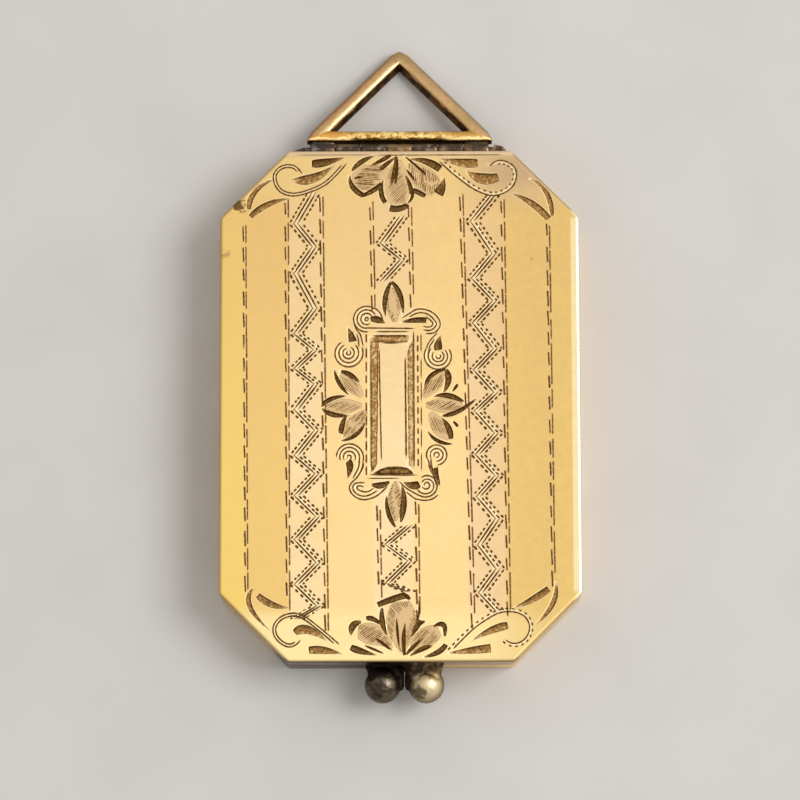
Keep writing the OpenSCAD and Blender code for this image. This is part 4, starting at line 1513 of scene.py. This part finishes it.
def cut_tints(g, base, cloud):
    """The cuts darken with their depth. Also returns whether a point is cut at all, and whether deeply."""
    from_side, from_end = HALF_W - abs(g.x), HALF_H - abs(g.y)
    from_corner = (from_side + from_end - CORNER_CUT) * math.sqrt(0.5)
    from_edge = g.math("MINIMUM", g.math("MINIMUM", from_side, from_end), from_corner)
    # The rounded edge also lies under the face, but it isn't cut.
    on_face = g.span(from_edge, EDGE_R + 0.01, EDGE_R + 0.05) * g.span(g.z, FACE_Z - 0.35, FACE_Z - 0.25)
    cut = (FACE_Z - g.z) * on_face
    speck = g.span(g.noise(6, 5, 0.6), 0.32, 0.68, -0.016, 0.016)
    mottled = cut + speck * g.span(cut, 0.008, 0.03)
    # The inside of the half is plain.
    inside = g.span(from_edge, WALL - 0.05, WALL - 0.01) * g.span(g.z, FACE_Z - 0.3, FACE_Z - 0.4)
    base = g.mix(inside, base, g.mix(g.span(cloud, 0.35, 0.7), PANEL_GOLD, BAND_GOLD))
    # Painted highlight: the shallow beds are cream.
    base = g.mix(g.span(cut, 0.0005, 0.0025, 0, 0.5), base, CREAM_HIGHLIGHT)
    is_cut = g.span(cut, 0.005, 0.009)
    base = g.mix(is_cut, base, PATINA)
    base = g.mix(g.span(mottled, 0.018, 0.034), base, EARTH)
    base = g.mix(g.span(mottled, 0.042, 0.055), base, FLOOR_BROWN)
    is_deep = g.span(mottled, 0.060, 0.078)
    return g.mix(is_deep, base, GRIME), is_cut, is_deep


def face_gold():
    g = Graph("engraved gold")
    cloud = g.noise(0.22, 3)
    base = edge_tints(g, face_tints(g, cloud))
    base, is_cut, is_deep = cut_tints(g, base, cloud)
    # The edge at the hinge is pale, a painted reflection, and it is also dull: rougher and less metallic.
    at_hinge = g.span(g.y, 15.6, 15.7) * g.span(g.z, FACE_Z - 0.25, FACE_Z - 0.15)
    base = g.mix(at_hinge, base, HINGE_EDGE_REFLECTION)
    rough = (g.waves(0.26, 0.31, 2.2, 5, 0.6) + is_cut * 0.4).clamped()
    rough = (rough + at_hinge * 0.35).clamped()
    metal = (1 - is_deep * 0.12 - at_hinge * 0.6).clamped()
    g.bump(g.noise(0.5, 2) + g.noise(14, 3) * 0.02, 0.2, 0.02)
    return g.finish(base, rough, metal)


def plain_gold(name, tint, scratch_scale=2.0):
    g = Graph(name)
    base = g.mix(g.span(g.noise(0.3, 4), 0.35, 0.7), tint, BAND_GOLD)
    base = g.mix(g.span(g.noise(1.2, 5), 0.6, 0.75, 0, 0.5), base, COPPER)
    rough = g.waves(0.30, 0.37, scratch_scale, 4, 0.6, stretch=(0.4, 1, 1))
    g.bump(g.noise(6, 5), 0.25, 0.02)
    # The walls beside the left bead get painted shade.
    return g.finish(left_wall_shade(g, base), rough, 1.0)


def solder_metal(name, dark, light, share):
    """Soiled solder. share is how much of it is dark."""
    g = Graph(name)
    grain = g.noise(1.4, 5, 0.55)
    # It is blue-grey towards the left end, and browner towards the right end and in places.
    cool = g.span(g.x, -1.5, -3.5, 0, 0.5) * g.span(g.x, -6, -5.6)
    dark = g.mix(cool, dark, SOLDER_BLUE)
    light = g.mix(cool, light, SOLDER_BLUE_LIGHT)
    base = g.mix(g.span(grain, share - 0.08, share + 0.14), dark, light)
    brown = g.span(g.x, 1, 5, 0, 0.45) + g.span(g.noise(0.8, 3), 0.45, 0.6, 0, 0.5)
    brown = (brown + g.span(abs(g.x), 5.75, 5.85, 0, 0.6)).clamped()
    base = g.mix(brown, base, g.mix(g.span(grain, 0.4, 0.6), SOLDER_BROWN, SOLDER_BROWN_LIGHT))
    # Pale specks are painted glints.
    base = g.mix(g.span(g.noise(2.6, 3), 0.62, 0.74, 0, 0.7), base, SOLDER_GLINT)
    rough = g.waves(0.3, 0.6, 2.5, 4)
    g.bump(g.noise(1.8, 4), 0.8, 0.14)
    return g.finish(base, rough, g.span(grain, 0.3, 0.6, 0.5, 0.95))


def leg_tints(g, along, across):
    """The left leg has painted shade outside, then is tan, and has a painted highlight at its ridge. The
    right one is a flat tan.
    """
    left = g.mix(g.span(across, 0.38, 0.56), LEG_TAN, LEG_HIGHLIGHT)
    left = g.mix(g.span(across, 0.12, -0.02), left, LEG_OUTER_SHADE)
    right = g.mix(g.span(g.noise(0.9, 5), 0.35, 0.7), RIGHT_TAN, RIGHT_ROSE)
    right = g.mix(g.span(across, 0.06, -0.06), right, RIGHT_DULL)
    base = g.mix(g.span(g.x, -0.5, 0.7), left, right)
    return g.mix(g.span(along, BAIL_REACH - 1.3, BAIL_REACH - 0.7, 0, 0.7), base, TIP_TAN)


def bar_tints(g, bar, across):
    """The bar is orange at its ends, and bright and pitted in the middle."""
    reach = abs(g.x)
    ends = g.mix(g.span(g.x, -1, 1), BAR_ORANGE, BAR_OCHRE)
    worn = g.mix(g.span(g.noise(1.8, 5), 0.35, 0.65), BAR_GOLD, BAR_BRIGHT)
    pits = g.span(g.noise(3.4, 7, 0.65), 0.46, 0.62, 0, 0.85)
    worn = g.mix(pits * g.span(bar, 0.8, 0.6), worn, BAR_PIT)
    base = g.mix(g.span(reach, 3.7, 3), ends, worn)
    # A painted highlight runs along its lower edge at the ends, and a painted shade line under its middle.
    line = g.span(across, 0.04, 0.1) * g.span(across, 0.3, 0.18)
    at_ends = g.span(reach, 2.6, 3.4)
    base = g.mix(line * at_ends, base, BAR_HIGHLIGHT)
    base = g.mix((g.span(across, 0.26, 0.14) - at_ends).clamped(), base, BAR_SHADE)
    # Painted shade along its inner edge.
    return g.mix(g.span(across, 0.84, 0.92), base, BAR_INNER_SHADE)


def bail_gold():
    """Worn gold. The share of the way across the bail is found again from the place of the point."""
    g = Graph("bail gold")
    along = (g.y - HINGE.y) * math.cos(BAIL_DROOP) - (g.z - HINGE.z) * math.sin(BAIL_DROOP)
    from_side = (BAIL_REACH - along) * math.cos(BAIL_SLOPE) - abs(g.x) * math.sin(BAIL_SLOPE)
    leg = from_side / BAIL_LEG_W
    bar = (along - BAIL_BAR_Y) / BAIL_BAR_W
    uneven = g.waves(-0.07, 0.07, 2.2, 4)
    on_bar = g.span(bar - leg, 0.1, -0.1) * g.span(bar, 1.02, 0.98)
    base = g.mix(on_bar, leg_tints(g, along, leg + uneven), bar_tints(g, bar, bar + uneven))
    base = g.mix(g.span(g.noise(2.2, 5), 0.6, 0.75, 0, 0.35), base, BRASS_DARK)
    # The slope inside the eye has painted shade, with a ragged border.
    ragged = leg + g.waves(-0.035, 0.035, 1.3, 3)
    inner = g.mix(g.span(g.noise(1.4, 4), 0.42, 0.65), EYE_SHADE_DARK, EYE_SHADE_BROWN)
    base = g.mix(g.span(ragged, 0.76, 0.83) * g.span(on_bar, 0.5, 0.2), base, inner)
    # Painted shade under the bar.
    base = g.mix(g.span(bar, 0.04, 0), base, BAR_UNDER_SHADE)
    g.bump(g.noise(5, 5), 0.45, 0.04)
    return g.finish(base, g.waves(0.34, 0.50, 3, 4), 1.0)


def bead_metal(name, x, tint, dark_tint, share, patch, patch_r, neck, rough_low):
    """Nickel of the bead centred at x. patch is the place, from its centre, of a darker patch of radius
    patch_r, and neck has the two colours of the solder above it."""
    g = Graph(name)
    base = g.mix(g.span(g.noise(1.7, 6, 0.65), share, share + 0.14), tint, dark_tint)
    away = g.distance(x + patch[0], BEAD_Y + patch[1]) + g.waves(-0.15, 0.15, 2.5, 4)
    base = g.mix(g.span(away, patch_r, patch_r * 0.5, 0, 0.8), base, dark_tint)
    # Its rim has painted shade, and dark solder covers the neck and the top of the ball.
    base = g.mix(g.span(g.distance(x, BEAD_Y), BEAD_R * 0.68, BEAD_R, 0, 0.7), base, dark_tint)
    grain = g.mix(g.span(g.noise(1.5, 4), 0.42, 0.62), *neck)
    base = g.mix(g.span(g.y + g.waves(-0.25, 0.25, 1.2, 4), BEAD_Y + 0.2, BEAD_Y + 0.85), base, grain)
    # Painted shade between the beads makes them darkest there.
    off_middle = abs(g.x - (sum(BEAD_X) / 2 - 0.06)) + g.waves(-0.1, 0.1, 2, 4)
    flank_shade = g.span(off_middle, 0.70, 0.34, 0, 0.92) * g.span(g.y, BEAD_Y - 0.85, BEAD_Y - 0.2)
    base = g.mix(flank_shade, base, FLANK_SHADE_DARK)
    rough = g.waves(rough_low, rough_low + 0.18, 4, 4) + flank_shade * 0.3
    g.bump(g.noise(2.5, 4), 0.4, 0.06)
    return g.finish(base, rough, 0.95)


def paper():
    g = Graph("paper")
    base = g.mix(g.waves(0, 1, 0.12, 3), PAPER, PAPER_LIGHT)
    g.bump(g.noise(1.5, 6), 0.04, 0.03)
    return g.finish(base, 0.8, 0.0)


# The pieces.

solder = solder_metal("hinge solder", SOLDER, SOLDER_LIGHT, 0.55)
middle_solder = solder_metal("middle knuckle", SOLDER_WARM, SOLDER_TAN, 0.47)
front_shell(face_gold())
back_shell(plain_gold("case gold", PANEL_GOLD))
hinge_part("front_knuckles", "lid", solder, (1, 5), 3)
hinge_part("middle_knuckle", "lid", middle_solder, (3,), 3)
hinge_part("back_knuckles", "back", solder, (2, 4), 11)
bail(bail_gold())
bail_ears(solder)
left_metal = bead_metal(
    "tarnished nickel", BEAD_X[0], colour(114, 102, 86), colour(66, 56, 46), 0.46, (-0.4, -0.5), 0.40,
    (colour(40, 36, 38), colour(78, 70, 68)), 0.26,
)
right_metal = bead_metal(
    "bright nickel", BEAD_X[1], colour(212, 194, 154), colour(78, 60, 36), 0.64, (-0.42, -0.5), 0.50,
    (colour(58, 46, 36), colour(132, 106, 66)), 0.38,
)
bead("back_clasp_bead", "back", "tarnished_bead", left_metal, "back_bead", BEAD_X[0], 21)
bead("front_clasp_bead", "lid", "bright_bead", right_metal, "front_bead", BEAD_X[1], 27)

rim_material = plain_gold("rim gold", STRIP_GOLD, 3.0)
pin_material = solder_metal("pin steel", SOLDER, SOLDER_LIGHT, 0.45)
for node_name, material in (
    ("back_picture_rim", rim_material), ("front_picture_rim", rim_material), ("hinge_pin", pin_material),
):
    node = frame["nodes"][node_name]
    node.data.materials.clear()
    node.data.materials.append(material)


# The stage: pale paper, a soft sky and one large lamp from the upper right.


def floor():
    half = 400 * MM
    mesh = bpy.data.meshes.new("floor")
    corners = [(-half, -half, 0), (half, -half, 0), (half, half, 0), (-half, half, 0)]
    mesh.from_pydata(corners, [], [[0, 1, 2, 3]])
    mesh.materials.append(paper())
    obj = placed("floor", mesh)
    obj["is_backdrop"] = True


def sky():
    """A room that is bright overhead and towards the right, and dim low down on the left."""
    world = bpy.data.worlds.new("sky")
    bpy.context.scene.world = world
    world.use_nodes = True
    g = Nodes(world.node_tree)
    split = g.new("ShaderNodeSeparateXYZ", g.new("ShaderNodeTexCoord").outputs["Generated"])
    ramp = g.new("ShaderNodeValToRGB", split.outputs["Z"])
    stops = ramp.color_ramp.elements
    stops[0].position, stops[0].color = 0.0, (0.30, 0.28, 0.26, 1)
    stops[1].position, stops[1].color = 1.0, (1.02, 1.01, 1.00, 1)
    for position, value in ((0.35, 0.45), (0.75, 0.74), (0.95, 0.90)):
        stops.new(position).color = (value, value * 0.985, value * 0.97, 1)
    extra = g.span(split.outputs["X"], 0.15, 0.95, 0, 0.55) + g.span(split.outputs["Y"], 0.3, 0.95, 0, 0.1)
    total = g.new("ShaderNodeVectorMath", ramp.outputs[0], extra, operation="ADD")
    g.feed([(g.tree.nodes["Background"].inputs["Color"], total.outputs[0])])


def lamp(name, place, size, watts):
    """A round lamp that shines on the middle of the case."""
    light = bpy.data.lights.new(name, "AREA")
    light.shape = "DISK"
    light.size = size * MM
    light.energy = watts
    obj = placed(name, light)
    obj.location = Vector(place) * MM
    obj.rotation_euler = (-Vector(place)).to_track_quat("-Z", "Y").to_euler()


def camera():
    """The photograph's camera, found from the outline of the case. It looks at a point in the middle of the
    case, and the picture is shifted by off_x and off_y pixels."""
    place = Vector((0, -38.268, 249.683))
    look = Vector((0, 0, 2.2))
    roll = math.radians(-0.166)
    data = bpy.data.cameras.new("camera")
    obj = placed("camera", data)
    back = (place - look).normalized()
    right = Vector((0, 1, 0)).cross(back).normalized()
    up = back.cross(right)
    turned = right * math.cos(roll) + up * math.sin(roll)
    above = back.cross(turned)
    obj.matrix_world = Matrix.Translation(place * MM) @ Matrix((turned, above, back)).transposed().to_4x4()
    focal_px, frame_px = 4046, 800
    off_x, off_y = -0.233, 9.319
    data.sensor_width = 36
    data.lens = data.sensor_width * focal_px / frame_px
    data.shift_x = off_x / frame_px
    data.shift_y = off_y / frame_px
    data.clip_start, data.clip_end = 0.01, 5
    bpy.context.scene.camera = obj


floor()
sky()
lamp("upper right", (264, 40, 368), 250, 1.07)
camera()
bpy.context.scene.view_settings.view_transform = "Standard"

low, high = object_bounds()
